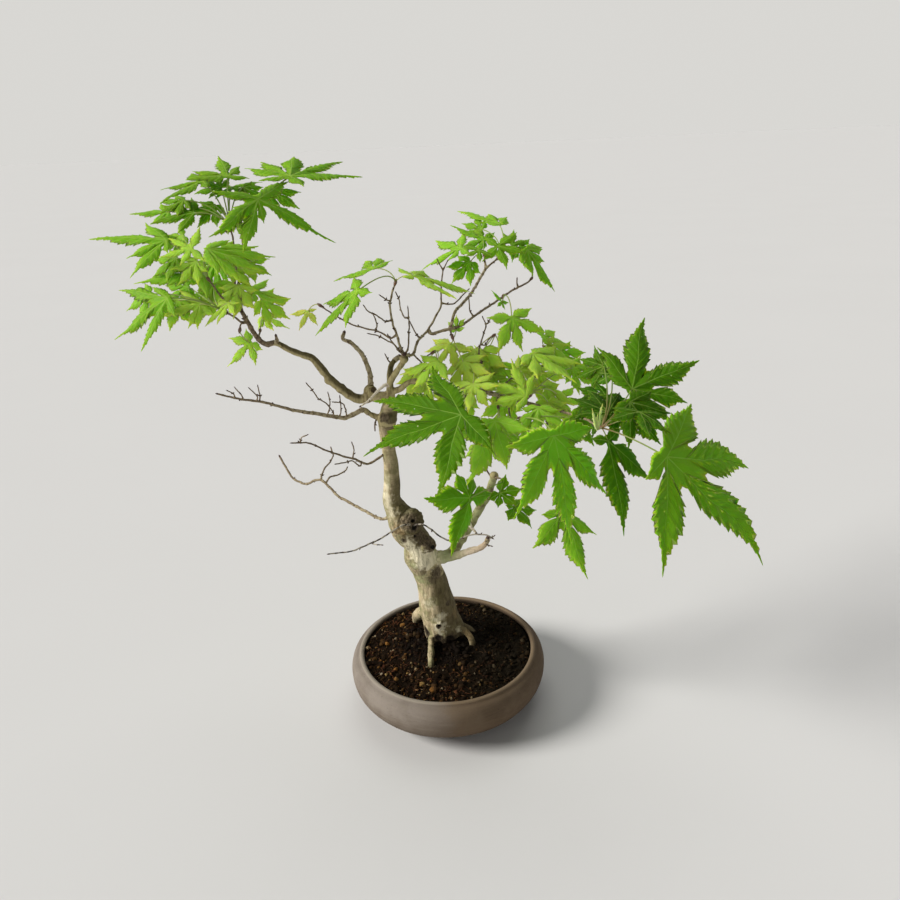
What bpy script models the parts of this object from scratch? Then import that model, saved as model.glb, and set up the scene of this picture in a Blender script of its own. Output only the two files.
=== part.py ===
"""A Japanese maple grown as a bonsai, in its round unglazed pot.

The pot stands on the origin: +Z is up, and -Y is the side the tree is looked at from.
Twigs and leaves are laid out along sight lines from one fixed eye point, each with its own
depth behind or in front of the pot's axis, so their places are written as (across, down, depth).
"""
import math

import bmesh
import bpy
from mathutils import Matrix, Vector, noise

MM = 0.001
MERGE_DISTANCE = 0.00001
SHARP_ANGLE = math.radians(50.0)

# The eye point and its picture, 900 units on a side, that sight lines are counted in
EYE = Vector((7.4, -408.0, 335.6))
EYE_TILT = math.radians(22.1)
EYE_ROLL = math.radians(-2.6)
FOCAL = 762.0
PICTURE_CENTRE = 450.0

# Pot, in millimetres
RIM_HEIGHT = 35.0
RIM_INNER_RADIUS = 53.5
RIM_OUTER_RADIUS = 56.5
BELLY_RADIUS = 62.0
BELLY_HEIGHT = 24.0
FOOT_RADIUS = 38.0
FOOT_HEIGHT = 3.0
WALL = 4.5
FLOOR_TOP = 8.0
LIP_CHAMFER = 0.8
FOOT_EDGE = ((1.0, 0.6), (1.6, 0.0))
HOLE_CIRCLE_RADIUS = 21.0
HOLE_RADIUS = 6.0
HOLE_COUNT = 2
HOLE_SIDES = 16
POT_SIDES = 28
UPPER_STEPS = 3
LOWER_STEPS = 5
INNER_STEPS = 4

# Soil and the plastic nets over the drain holes, in millimetres
CLEARANCE = 0.3
SOIL_TOP = 32.0
SOIL_MOUND = 5.0
SOIL_MOUND_SPREAD = 26.0
SOIL_MOUND_BACK = 7.2
SOIL_ROUGHNESS = 1.1
SOIL_LUMPS = ((0.11, 3.0, 1.0), (0.27, 9.0, 0.6))
SOIL_RINGS = 5
SOIL_EDGE_GAP = 0.5
SOIL_EDGE_DEPTH = 2.5
SOIL_EDGE_FADE = 4.0
NET_SIDE = 15.0
NET_WIRE = 1.2
NET_BARS = 2
NET_SEAT_DEPTH = 1.0

# Leaf blade, as shares of each lobe's length
SINUS = 0.40
BASE_NOTCH = 0.07
LOBE_ANGLE = math.radians(44.0)
OPEN_WEDGE = math.radians(50.0)
WEDGE_SHARE = 0.48
LOBE_HALF_WIDTH = 0.20
DROOP = 0.10
FOLD = 0.22
LARGE_LEAF = 34.0
SMALL_LEAF = 15.0
LARGE_RIB = ((0.0, 0.50), (0.36, 0.46), (0.68, 0.36))
SMALL_RIB = ((0.0, 0.50), (0.50, 0.42))
TINY_MARGIN = ((0.56, 1.00), (0.72, 0.55))
SMALL_MARGIN = ((0.54, 1.00), (0.68, 0.58), (0.77, 0.62))
LARGE_MARGIN = ((0.52, 0.96), (0.61, 0.70), (0.69, 0.80), (0.82, 0.36))
PETIOLE_RADIUS = 0.5
PETIOLE_TAPER = 0.8
PETIOLE_FORWARD = 0.25
PETIOLE_LEAN = 0.3
PETIOLE_RISE = 0.08
PETIOLE_START = 0.25
PETIOLE_MISS = (0.11, -0.07, 0.05)
BUD_RADIUS = 1.1

# Trunk: centre line and width, from the soil to the crown, in picture units
TRUNK_DEPTH_LOW = 12.0
TRUNK_DEPTH_HIGH = -8.0
TRUNK = (
    (450, 640, 40), (446, 628, 42), (441, 616, 39), (437, 604, 36), (434, 590, 32),
    (431, 578, 30), (426, 567, 29), (421, 556, 34), (416, 543, 31), (409, 531, 32),
    (403, 520, 33), (397, 509, 25), (392, 499, 18), (392, 482, 16.5), (391, 465, 15),
    (389, 450, 14), (387, 436, 14.5), (387, 422, 18), (389, 410, 17), (390, 400, 12),
    (390, 392, 9),
)
TRUNK_PLUG = (2.0, 12.0, 14.0)
TRUNK_PLUG_RADIUS = 13.0
TRUNK_PLUG_RINGS = 6

# Wood: the sides of each tube, how limbs start and thin out, and the gaps left round buried pieces
TRUNK_SIDES = 10
ROOT_SIDES = 6
PETIOLE_SIDES = 4
THICK_LIMB = 10
MIDDLE_LIMB = 5
LIMB_START = 6.0
LIMB_TAPER = 0.8
SEARCH_STEPS = 8
LARGE_BURL = 4.0
BURL_SQUASH = 0.9
PLUG_GAP = 0.33
ROOT_GAP = 0.36
BURL_GAP = 0.39

# Colour and roughness of each material
FINISHES = {
    "pot_stoneware": ((0.23, 0.19, 0.14), 0.8),
    "net_plastic": ((0.02, 0.02, 0.02), 0.5),
    "soil": ((0.035, 0.020, 0.012), 1.0),
    "bark": ((0.34, 0.29, 0.22), 0.9),
}
LEAF_ROUGHNESS = 0.5

# Limbs and twigs: name, parent, points in picture units, first width, last width, last depth
LIMBS = (
    ("left_limb", "trunk", ((372, 397), (360, 399), (350, 395), (333, 382), (320, 367), (312, 358),
     (303, 355), (290, 350), (276, 343), (265, 344), (254, 333), (242, 312)), 13, 4.5, -14),
    ("crown_fork_low", "left_limb", ((243, 323), (233, 316), (223, 311)), 3.4, 2.2, -20),
    ("crown_fork_bare", "left_limb", ((241, 300), (239, 286)), 3, 2, -10),
    ("crown_fork_left", "left_limb", ((232, 304), (222, 297), (209, 280)), 3.2, 2.4, -18),
    ("crown_riser", "left_limb", ((237, 300), (235, 285), (236, 265), (234, 245), (231, 230)),
     3.2, 2.4, -2),
    ("crown_twig", "crown_riser", ((241, 252), (243, 241)), 2.2, 1.8, -8),
    ("crown_spur", "left_limb", ((241, 324), (240, 329)), 2.4, 2, -12),
    ("crown_knot", "left_limb", ((259, 337), (260, 331)), 4, 2, 0),
    ("left_knot", "left_limb", ((277, 340), (276, 336)), 5, 3.5, -14),
    ("cut_stub", "left_limb", ((371, 388), (370, 375), (367, 365), (361, 353), (351, 343),
     (343, 339), (344, 333)), 7, 3.2, 4),
    ("upright_stub", "trunk", ((390, 385), (390, 375), (391, 366), (395, 360), (399, 357)), 8, 5, 6),
    ("upright_spike", "upright_stub", ((389, 361), (386, 356)), 2.4, 1.6, 6),
    ("hub_limb", "trunk", ((390, 383), (397, 371), (403, 362), (404, 355)), 7, 6, -12),
    ("dead_point", "hub_limb", ((385, 385), (379, 390), (369, 400), (361, 406)), 3.6, 1.2, -18),
    ("main_twig", "hub_limb", ((401, 349), (396, 333), (393, 325), (390, 306), (391, 298),
     (395, 284)), 3.8, 2.4, 0),
    ("twig_a", "main_twig", ((387, 300), (381, 296)), 2, 1.6, -8),
    ("twig_b", "main_twig", ((385, 321), (376, 315), (368, 311), (364, 306)), 2.2, 1.6, -20),
    ("long_twig", "main_twig", ((390, 338), (380, 332), (360, 327), (351, 324), (336, 316),
     (321, 306)), 2.6, 1.8, 10),
    ("twig_c", "long_twig", ((377, 324), (373, 314)), 2, 1.6, -6),
    ("twig_d", "hub_limb", ((394, 344), (388, 341), (378, 336), (370, 334)), 2.4, 1.6, -20),
    ("twig_e", "hub_limb", ((398, 350), (393, 343), (388, 335)), 2.4, 1.6, -24),
    ("twig_f", "hub_limb", ((408, 348), (409, 330), (409, 320), (408, 309)), 2.6, 1.6, -2),
    ("twig_g", "twig_f", ((405, 318), (401, 310), (399, 300), (396, 293)), 2, 1.6, 20),
    ("rising_twig", "hub_limb", ((413, 354), (418, 341), (428, 330), (437, 314), (441, 305),
     (441, 290), (443, 270)), 4.2, 1.8, 27),
    ("twig_h", "rising_twig", ((417, 335), (413, 328), (410, 322)), 2.2, 1.6, -2),
    ("fork_left", "rising_twig", ((440, 265), (438, 261)), 1.8, 1.6, 28),
    ("fork_right", "rising_twig", ((445, 266), (447, 262)), 1.8, 1.6, 28),
    ("twig_i", "rising_twig", ((453, 304), (462, 296), (468, 290)), 2.2, 1.6, 26),
    ("leaf_twig", "rising_twig", ((417, 358), (424, 364), (426, 357), (432, 353)), 2.2, 1.8, -3),
    ("bridge_limb", "rising_twig", ((432, 334), (441, 331), (450, 329)), 4, 4, 0),
    ("pale_spur", "bridge_limb", ((451, 333), (452, 336)), 2.2, 1.8, -3),
    ("top_limb", "bridge_limb", ((455, 312), (462, 304), (470, 295), (478, 282), (486, 268)),
     4, 3.6, 60),
    ("top_left_twig", "top_limb", ((485, 262), (484, 255)), 3, 2.4, 66),
    ("top_right_twig", "top_limb", ((491, 264), (497, 259)), 2.8, 2.2, 62),
    ("back_limb", "bridge_limb", ((462, 325), (480, 312), (497, 301), (508, 293), (517, 288),
     (527, 283), (531, 279)), 3.6, 2.2, 62),
    ("back_bud", "back_limb", ((517, 284), (517, 280)), 2.2, 1.8, 50),
    ("back_spike", "back_limb", ((470, 310), (469, 300)), 2, 1.6, 14),
    ("star_spur", "back_limb", ((501, 298), (503, 296)), 2.2, 1.8, 30),
    ("right_limb", "trunk", ((400, 389), (410, 382), (432, 381), (461, 387), (490, 393),
     (515, 400), (535, 405)), 7, 4, -14),
    ("right_arm", "right_limb", ((560, 411), (585, 419), (600, 427)), 3.8, 3, -66),
    ("right_spike_a", "right_limb", ((459, 380), (457, 370)), 2.2, 1.8, 4),
    ("right_spike_b", "right_limb", ((464, 381), (469, 372)), 2.2, 1.8, -2),
    ("front_spur", "right_limb", ((464, 392), (465, 396)), 2.4, 2, -12),
    ("dark_twig", "right_limb", ((484, 374), (479, 353), (483, 336), (486, 326), (483, 318)),
     2.6, 1.6, 14),
    ("dark_fork_a", "dark_twig", ((488, 323), (490, 319)), 1.8, 1.6, 14),
    ("dark_fork_b", "dark_twig", ((485, 345), (489, 339), (493, 336)), 1.8, 1.6, 12),
    ("hanging_spur", "right_limb", ((497, 400), (498, 406)), 2.2, 1.8, -14),
    ("far_twig", "right_limb", ((505, 384), (520, 374), (540, 367), (556, 359), (545, 348)),
     2.4, 1.8, 30),
    ("lime_spur", "right_limb", ((527, 400), (530, 396)), 2.6, 2.2, -18),
    ("red_knuckle", "right_limb", ((509, 408), (511, 418), (519, 418)), 2.4, 2.2, -30),
    ("low_spur", "right_arm", ((546, 416), (547, 424)), 2.2, 1.8, -34),
    ("lower_limb", "trunk", ((437, 556), (447, 555), (455, 548), (462, 538), (470, 525), (480, 508),
     (488, 495), (491, 485), (494, 478)), 13, 7, 22),
    ("lower_twig", "lower_limb", ((489, 474), (486, 468), (484, 461)), 2.6, 2, 20),
    ("lower_spur", "lower_limb", ((499, 478), (503, 480)), 3, 2, 6),
    ("dead_stub", "trunk", ((440, 560), (455, 556), (470, 551), (480, 548), (486, 543), (488, 538)),
     11, 4.4, -10),
    ("dead_tip_a", "dead_stub", ((491, 538), (494, 536)), 2.4, 1.6, -12),
    ("dead_tip_b", "dead_stub", ((488, 545), (491, 546)), 2.4, 1.6, -12),
    ("bent_twig", "trunk", ((426, 525), (440, 537), (450, 540), (462, 538), (475, 535),
     (492, 538)), 2.6, 1.8, -16),
    ("pale_cut", "lower_limb", ((468, 523), (476, 533)), 5, 2.4, 0),
    ("bare_limb", "trunk", ((380, 418), (370, 414), (363, 410), (350, 416), (342, 418),
     (318, 414), (297, 411), (285, 408), (262, 402), (240, 399), (218, 394)), 7, 1.8, -32),
    ("bare_a", "bare_limb", ((333, 412), (327, 404), (319, 399), (313, 391), (307, 384)), 2, 1.5, -34),
    ("bare_b", "bare_limb", ((330, 405), (328, 393)), 1.8, 1.5, -26),
    ("bare_c", "bare_limb", ((345, 408), (342, 403), (333, 402)), 2, 1.5, -28),
    ("bare_d", "bare_limb", ((341, 410), (340, 398)), 1.8, 1.5, -14),
    ("bare_e", "bare_limb", ((257, 396), (250, 389)), 1.8, 1.5, -32),
    ("bare_f", "bare_limb", ((260, 396), (258, 387)), 1.8, 1.5, -24),
    ("bare_g", "bare_limb", ((234, 394), (228, 391)), 1.8, 1.5, -34),
    ("bare_h", "bare_limb", ((242, 396), (236, 389)), 1.8, 1.5, -26),
    ("bare_i", "bare_limb", ((375, 424), (375, 430)), 2.4, 1.8, -14),
    ("bud_limb", "trunk", ((383, 455), (368, 464), (355, 459), (345, 457), (325, 450),
     (308, 443), (293, 443)), 3.6, 2, -32),
    ("bud_a", "bud_limb", ((301, 438), (307, 435)), 1.8, 1.5, -34),
    ("bud_b", "bud_limb", ((354, 450), (352, 443)), 1.8, 1.5, -20),
    ("bud_c", "bud_limb", ((360, 466), (352, 461), (343, 463), (336, 464)), 2, 1.6, -34),
    ("far_limb", "trunk", ((383, 519), (365, 511), (345, 500), (338, 496), (321, 480),
     (307, 484), (300, 482), (292, 477), (280, 457)), 4.4, 2.6, 50),
    ("far_a", "far_limb", ((322, 474), (325, 468), (330, 462), (333, 455), (331, 448)), 2.4, 1.8, 52),
    ("far_b", "far_limb", ((330, 477), (338, 475), (345, 471), (347, 468)), 2.4, 1.8, 40),
    ("knob_twig", "trunk", ((405, 526), (397, 529), (380, 539), (362, 547), (352, 551),
     (329, 554)), 2.6, 1.8, -34),
    ("knob_fork", "knob_twig", ((374, 544), (382, 545)), 1.8, 1.5, -28),
)

# Burls and healed wounds: place in picture units with depth, and radius in millimetres
BURLS = (
    ((411, 523, -1), 6.0), ((426, 545, 0), 6.0), ((387, 419, -8), 5.6), ((404, 359, -12), 2.6),
    ((439, 625, 2), 3.2), ((494, 476, 21), 3.0), ((370, 391, -7), 3.4), ((486, 268, 60), 1.8),
)

# Surface roots: points in millimetres on the pot's own axes, first radius, last radius
ROOTS = (
    (((-5, 3, 50), (-9, -6, 45), (-11, -14, 40), (-12, -20, 34), (-12, -24, 22)), 2.8, 1.7),
    (((5, 8, 46), (10, 7, 41), (15, 4, 37), (19, 0, 31), (20, -2, 22)), 4.6, 3.0),
    (((6, 14, 42), (15, 14, 38), (22, 11, 33), (25, 9, 22)), 4.4, 2.8),
    (((0, 18, 42), (-2, 27, 38), (-3, 34, 31), (-3, 37, 22)), 5.0, 3.0),
    (((-6, 12, 42), (-13, 12, 37), (-19, 10, 31), (-21, 9, 22)), 5.0, 3.0),
    (((2, 5, 43), (3, -3, 38), (5, -9, 33), (6, -12, 22)), 4.0, 2.4),
)

# Leaves: spray, knuckle (across, down, depth), lean and turn of the blade, lobe tips in order
LEAVES = (
    ("crown_right", (290, 176, -5), 15, 10, ((304, 188), (363, 177), (343, 160), (294, 154),
     (260, 160), (244, 167), (258, 181))),
    ("crown_right", (258, 199, -25), 45, 40, ((290, 181), (336, 243), (264, 224), (243, 254),
     (208, 238), (212, 191))),
    ("crown_top", (228, 176, 10), 25, 20, ((250, 179), (240, 166), (218, 155), (192, 171),
     (185, 180))),
    ("crown_top", (232, 187, 22), 20, 10, ((263, 182), (252, 196), (215, 200), (207, 184))),
    ("crown_top", (203, 181, 5), 15, -10, ((216, 177), (191, 172), (160, 190), (160, 206),
     (208, 189))),
    ("crown_top", (194, 213, 0), 30, 20, ((211, 212), (191, 197), (161, 205), (150, 224),
     (177, 235))),
    ("crown_top", (168, 212, 12), 30, 10, ((160, 203), (129, 214), (150, 225), (166, 225))),
    ("crown_left", (166, 240, -15), 30, 10, ((168, 254), (130, 279), (126, 259), (88, 239),
     (145, 222))),
    ("crown_left", (191, 249, -28), 35, 0, ((200, 226), (168, 238), (158, 257), (180, 266),
     (205, 262))),
    ("crown_left", (208, 249, -35), 40, 30, ((230, 240), (259, 246), (276, 257), (264, 271),
     (241, 284), (218, 276))),
    ("crown_left", (203, 274, -6), 40, 10, ((207, 300), (133, 284), (160, 262), (196, 258))),
    ("crown_left", (215, 262, 12), 50, 0, ((192, 262), (182, 288), (200, 306), (221, 300),
     (229, 283))),
    ("crown_low", (167, 298, -30), 45, -20, ((152, 287), (118, 290), (114, 340), (141, 352),
     (176, 318))),
    ("crown_low", (200, 304, -16), 45, 10, ((178, 290), (160, 318), (188, 329), (198, 330),
     (216, 318))),
    ("crown_low", (228, 303, -22), 35, -30, ((206, 305), (205, 327), (217, 325), (236, 315),
     (240, 303))),
    ("crown_fork", (252, 291, -5), 25, 40, ((269, 279), (288, 298), (283, 305), (256, 304),
     (243, 299))),
    ("crown_under", (250, 343, -8), 50, -20, ((246, 328), (228, 338), (227, 367), (256, 366),
     (263, 350))),
    ("crown_far", (263, 316, 25), 30, 30, ((258, 330), (274, 331), (290, 329), (281, 317))),
    ("trio", (357, 291, -20), 40, -60, ((354, 276), (322, 304), (315, 336), (346, 329),
     (373, 293))),
    ("trio", (374, 268, 10), 15, -60, ((333, 281), (364, 260), (376, 257), (393, 260))),
    ("trio", (414, 276, -4), 20, 80, ((398, 267), (424, 269), (476, 293), (457, 301), (402, 279))),
    ("yellow", (308, 311, 15), 45, -20, ((289, 315), (299, 331), (318, 326), (317, 309))),
    ("top_left", (460, 248, 70), 30, -40, ((462, 232), (435, 240), (422, 270), (447, 262),
     (471, 255))),
    ("top_left", (484, 240, 80), 30, 30, ((495, 232), (476, 226), (450, 225), (463, 246),
     (478, 252))),
    ("top_face", (499, 224, 85), 15, 30, ((508, 216), (488, 213), (457, 210), (480, 222))),
    ("top_face", (498, 246, 60), 55, 0, ((482, 262), (483, 236), (517, 232), (526, 254),
     (507, 270))),
    ("top_face", (512, 245, 74), 45, 20, ((502, 232), (514, 229), (527, 240), (530, 256),
     (512, 263))),
    ("top_left", (479, 250, 58), 40, 0, ((460, 244), (465, 257), (480, 263), (494, 257))),
    ("top_right", (527, 250, 65), 55, 50, ((543, 249), (545, 262), (555, 292), (533, 276),
     (520, 262))),
    ("star", (512, 318, 5), 60, 20, ((532, 308), (546, 333), (523, 352), (498, 353), (486, 318))),
    ("star", (502, 302, 15), 60, 50, ((491, 290), (497, 307), (505, 310), (509, 303))),
    ("far", (543, 337, 30), 35, 50, ((540, 325), (556, 331), (573, 346), (557, 350))),
    ("pale", (450, 344, 4), 45, 10, ((472, 352), (459, 372), (437, 368), (424, 352),
     (432, 339))),
    ("left", (437, 362, -17), 40, -30, ((420, 355), (399, 375), (411, 390), (430, 395),
     (449, 381))),
    ("small", (484, 357, 15), 55, 10, ((474, 345), (493, 346), (494, 372), (477, 374),
     (467, 362))),
    ("behind", (473, 385, -28), 35, -20, ((495, 372), (500, 386), (490, 408), (468, 414),
     (446, 404), (447, 383))),
    ("behind", (490, 376, -1), 40, 0, ((506, 364), (511, 379), (494, 388), (474, 388),
     (463, 372))),
    ("lime", (526, 396, -30), 55, 10, ((534, 373), (511, 358), (488, 382), (490, 405),
     (516, 412))),
    ("lime", (533, 354, -5), 20, 40, ((520, 366), (538, 380), (577, 384), (584, 365),
     (556, 346))),
    ("lime", (545, 386, 2), 50, 30, ((534, 392), (546, 420), (572, 428), (574, 405),
     (560, 384))),
    ("lime", (560, 398, 8), 40, 20, ((575, 386), (584, 404), (574, 424), (556, 424),
     (546, 408))),
    ("lower", (538, 408, -34), 45, 0, ((520, 408), (513, 433), (536, 440), (568, 431),
     (562, 410))),
    ("front", (461, 415, -62), 30, -10, ((432, 365), (373, 401), (363, 457), (437, 497),
     (494, 454))),
    ("lower", (554, 436, -80), 70, 40, ((594, 428), (608, 495), (572, 545), (513, 520),
     (505, 447))),
    ("right", (667, 457, -95), 50, 40, ((692, 403), (750, 468), (764, 566), (662, 578),
     (645, 480))),
    ("right", (632, 389, -55), 50, 10, ((597, 347), (645, 317), (700, 360), (688, 403),
     (672, 424))),
    ("right", (612, 374, -35), 55, -50, ((594, 345), (577, 372), (592, 388))),
    ("right", (608, 412, -60), 25, 10, ((620, 392), (587, 390), (570, 398), (576, 416),
     (600, 425))),
    ("right", (640, 412, -78), 15, 40, ((612, 408), (608, 420), (650, 438), (672, 434),
     (668, 415))),
    ("right", (608, 441, -72), 60, 60, ((590, 438), (624, 537), (651, 480), (622, 428))),
    ("right", (597, 425, -78), 70, 50, ((593, 404), (604, 403))),
    ("low", (563, 514, -30), 35, 40, ((541, 515), (532, 549), (588, 580), (597, 535))),
    ("hanging", (495, 421, -50), 45, -20, ((535, 432), (507, 470), (466, 486), (450, 440))),
    ("knob", (470, 498, -10), 70, 50, ((494, 493), (473, 474), (455, 472), (423, 498),
     (451, 557))),
    ("knob", (500, 493, -2), 55, -10, ((506, 474), (523, 488), (517, 506), (498, 508),
     (488, 500))),
    ("knob", (515, 507, 4), 35, 50, ((524, 498), (537, 510), (532, 529), (508, 521), (505, 505))),
)

# Sprays: name, the twig it grows from, and its green
SPRAYS = (
    ("crown_right", "crown_twig", (0.10, 0.24, 0.02)),
    ("crown_top", "crown_riser", (0.09, 0.22, 0.02)),
    ("crown_left", "crown_fork_left", (0.16, 0.31, 0.02)),
    ("crown_low", "crown_fork_low", (0.14, 0.29, 0.02)),
    ("crown_fork", "crown_fork_bare", (0.25, 0.40, 0.03)),
    ("crown_under", "crown_spur", (0.22, 0.39, 0.04)),
    ("crown_far", "crown_knot", (0.28, 0.44, 0.12)),
    ("trio", "main_twig", (0.22, 0.40, 0.05)),
    ("yellow", "long_twig", (0.45, 0.55, 0.12)),
    ("top_left", "top_left_twig", (0.13, 0.28, 0.05)),
    ("top_face", "top_right_twig", (0.12, 0.26, 0.04)),
    ("top_right", "back_limb", (0.13, 0.28, 0.04)),
    ("star", "star_spur", (0.17, 0.36, 0.02)),
    ("far", "far_twig", (0.17, 0.32, 0.05)),
    ("pale", "pale_spur", (0.30, 0.48, 0.05)),
    ("left", "leaf_twig", (0.27, 0.45, 0.05)),
    ("small", "dark_fork_b", (0.18, 0.36, 0.03)),
    ("behind", "right_spike_b", (0.24, 0.42, 0.03)),
    ("lime", "lime_spur", (0.27, 0.45, 0.02)),
    ("lower", "red_knuckle", (0.12, 0.29, 0.01)),
    ("front", "front_spur", (0.07, 0.22, 0.02)),
    ("right", "right_arm", (0.05, 0.16, 0.01)),
    ("low", "low_spur", (0.13, 0.30, 0.02)),
    ("hanging", "hanging_spur", (0.16, 0.34, 0.02)),
    ("knob", "lower_spur", (0.09, 0.25, 0.01)),
)


def remove_everything():
    for item in list(bpy.data.objects):
        bpy.data.objects.remove(item)


def new_collection(name):
    group = bpy.data.collections.new(name)
    bpy.context.scene.collection.children.link(group)
    return group


def make_material(name, colour, roughness):
    material = bpy.data.materials.new(name)
    material.use_nodes = True
    shader = material.node_tree.nodes["Principled BSDF"]
    shader.inputs["Base Color"].default_value = (*colour, 1.0)
    shader.inputs["Roughness"].default_value = roughness
    shader.inputs["Metallic"].default_value = 0.0
    return material


def object_from_mesh(name, mesh, group):
    item = bpy.data.objects.new(name, mesh)
    group.objects.link(item)
    return item


def apply_modifiers(item):
    """Replace the object's mesh by its mesh after modifiers."""
    shape = item.evaluated_get(bpy.context.evaluated_depsgraph_get())
    mesh = bpy.data.meshes.new_from_object(shape)
    item.modifiers.clear()
    item.data = mesh


def hide_cutter(item):
    item.hide_render = True
    item.display_type = "WIRE"


def sight_axes():
    """Forward, right and up of the eye point's picture."""
    forward = Vector((0.0, math.cos(EYE_TILT), -math.sin(EYE_TILT)))
    level = Vector((1.0, 0.0, 0.0))
    upright = level.cross(forward)
    right = level * math.cos(EYE_ROLL) + upright * math.sin(EYE_ROLL)
    up = upright * math.cos(EYE_ROLL) - level * math.sin(EYE_ROLL)
    return forward, right, up


FORWARD, RIGHT, UP = sight_axes()


def sight(across, down):
    """Direction of the sight line through a place in the picture."""
    return FORWARD + RIGHT * ((across - PICTURE_CENTRE) / FOCAL) - UP * ((down - PICTURE_CENTRE) / FOCAL)


def spot(across, down, depth):
    """Point where the sight line is that far behind the pot's axis, in millimetres."""
    line = sight(across, down)
    return EYE + line * ((depth - EYE.y) / line.y)


def real_width(width, point):
    """Millimetres that a width in picture units has at a point."""
    return width * (point - EYE).dot(FORWARD) / FOCAL


def tube(name, points, radii, sides, group):
    """Tapered tube through points in millimetres, as a closed mesh."""
    curve = bpy.data.curves.new("guide", "CURVE")
    curve.dimensions = "3D"
    curve.bevel_depth = MM
    curve.bevel_resolution = (sides - 4) // 2
    curve.use_fill_caps = True
    line = curve.splines.new("POLY")
    line.points.add(len(points) - 1)
    for place, point, radius in zip(line.points, points, radii):
        place.co = (*(Vector(point) * MM), 1.0)
        place.radius = radius
    guide = object_from_mesh("guide", curve, group)
    bpy.context.view_layer.update()
    mesh = bpy.data.meshes.new_from_object(guide.evaluated_get(bpy.context.evaluated_depsgraph_get()))
    welded = bmesh.new()
    welded.from_mesh(mesh)
    bmesh.ops.remove_doubles(welded, verts=welded.verts, dist=MERGE_DISTANCE)
    welded.to_mesh(mesh)
    welded.free()
    item = object_from_mesh(name, mesh, group)
    item.matrix_world = guide.matrix_world
    bpy.data.objects.remove(guide)
    return item


def ball(name, centre, radius, group, squash=1.0, subdivisions=2):
    """Faceted ball in millimetres."""
    shape = bmesh.new()
    place = Matrix.Translation(Vector(centre) * MM) @ Matrix.Diagonal((1.0, 1.0, squash, 1.0))
    bmesh.ops.create_icosphere(shape, subdivisions=subdivisions, radius=radius * MM, matrix=place)
    mesh = bpy.data.meshes.new(name)
    shape.to_mesh(mesh)
    shape.free()
    return object_from_mesh(name, mesh, group)


def combine(item, pieces, operation):
    """Join every object of a collection to the item, or take each out of it."""
    modifier = item.modifiers.new("Combine", "BOOLEAN")
    modifier.operation = operation
    modifier.operand_type = "COLLECTION"
    modifier.collection = pieces
    modifier.solver = "EXACT"
    apply_modifiers(item)
    for piece in list(pieces.objects):
        bpy.data.objects.remove(piece)
    bpy.data.collections.remove(pieces)


def turned(name, profile, sides, group):
    """Solid turned round the upright axis from a profile of (radius, height) in millimetres."""
    mesh = bpy.data.meshes.new(name)
    points = [(radius * MM, 0.0, height * MM) for radius, height in profile]
    edges = [(index, index + 1) for index in range(len(points) - 1)]
    mesh.from_pydata(points, edges, [])
    item = object_from_mesh(name, mesh, group)
    screw = item.modifiers.new("Screw", "SCREW")
    screw.steps = sides
    screw.render_steps = sides
    screw.use_merge_vertices = True
    screw.merge_threshold = MERGE_DISTANCE
    apply_modifiers(item)
    return item


def finish(item, name, colour, roughness):
    """Shade the round faces smooth and give the object its material."""
    item.data.shade_smooth()
    item.data.set_sharp_from_angle(angle=SHARP_ANGLE)
    item.data.materials.append(make_material(name, colour, roughness))


def outer_wall():
    """Outside of the pot from the lip down to the foot."""
    shoulder = RIM_HEIGHT - 2.0 * LIP_CHAMFER
    upper = [(RIM_OUTER_RADIUS, RIM_HEIGHT - LIP_CHAMFER)]
    for step in range(1, UPPER_STEPS + 1):
        angle = math.pi / 2.0 * (1.0 - step / UPPER_STEPS)
        radius = RIM_OUTER_RADIUS + (BELLY_RADIUS - RIM_OUTER_RADIUS) * math.cos(angle)
        upper.append((radius, BELLY_HEIGHT + (shoulder - BELLY_HEIGHT) * math.sin(angle)))
    lower = []
    for step in range(1, LOWER_STEPS + 1):
        angle = math.pi / 2.0 * step / LOWER_STEPS
        radius = FOOT_RADIUS + (BELLY_RADIUS - FOOT_RADIUS) * math.cos(angle)
        lower.append((radius, BELLY_HEIGHT - (BELLY_HEIGHT - FOOT_HEIGHT) * math.sin(angle)))
    return upper + lower


def inner_wall(offset=0.0):
    """Inside of the pot from the floor up to the lip, moved in by an offset."""
    reach = BELLY_RADIUS - WALL - offset
    floor_radius = FOOT_RADIUS - offset
    points = [(floor_radius, FLOOR_TOP + offset)]
    for step in range(1, INNER_STEPS + 1):
        angle = math.pi / 2.0 * step / INNER_STEPS
        radius = floor_radius + (reach - floor_radius) * math.sin(angle)
        height = FLOOR_TOP + offset + (BELLY_HEIGHT - FLOOR_TOP - offset) * (1.0 - math.cos(angle))
        points.append((radius, height))
    return points


def hole_places(height):
    """Centre of each drain hole at a height, in millimetres."""
    for index in range(HOLE_COUNT):
        angle = math.radians(90.0 + 360.0 * index / HOLE_COUNT)
        yield Vector((HOLE_CIRCLE_RADIUS * math.cos(angle), HOLE_CIRCLE_RADIUS * math.sin(angle), height))


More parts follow.
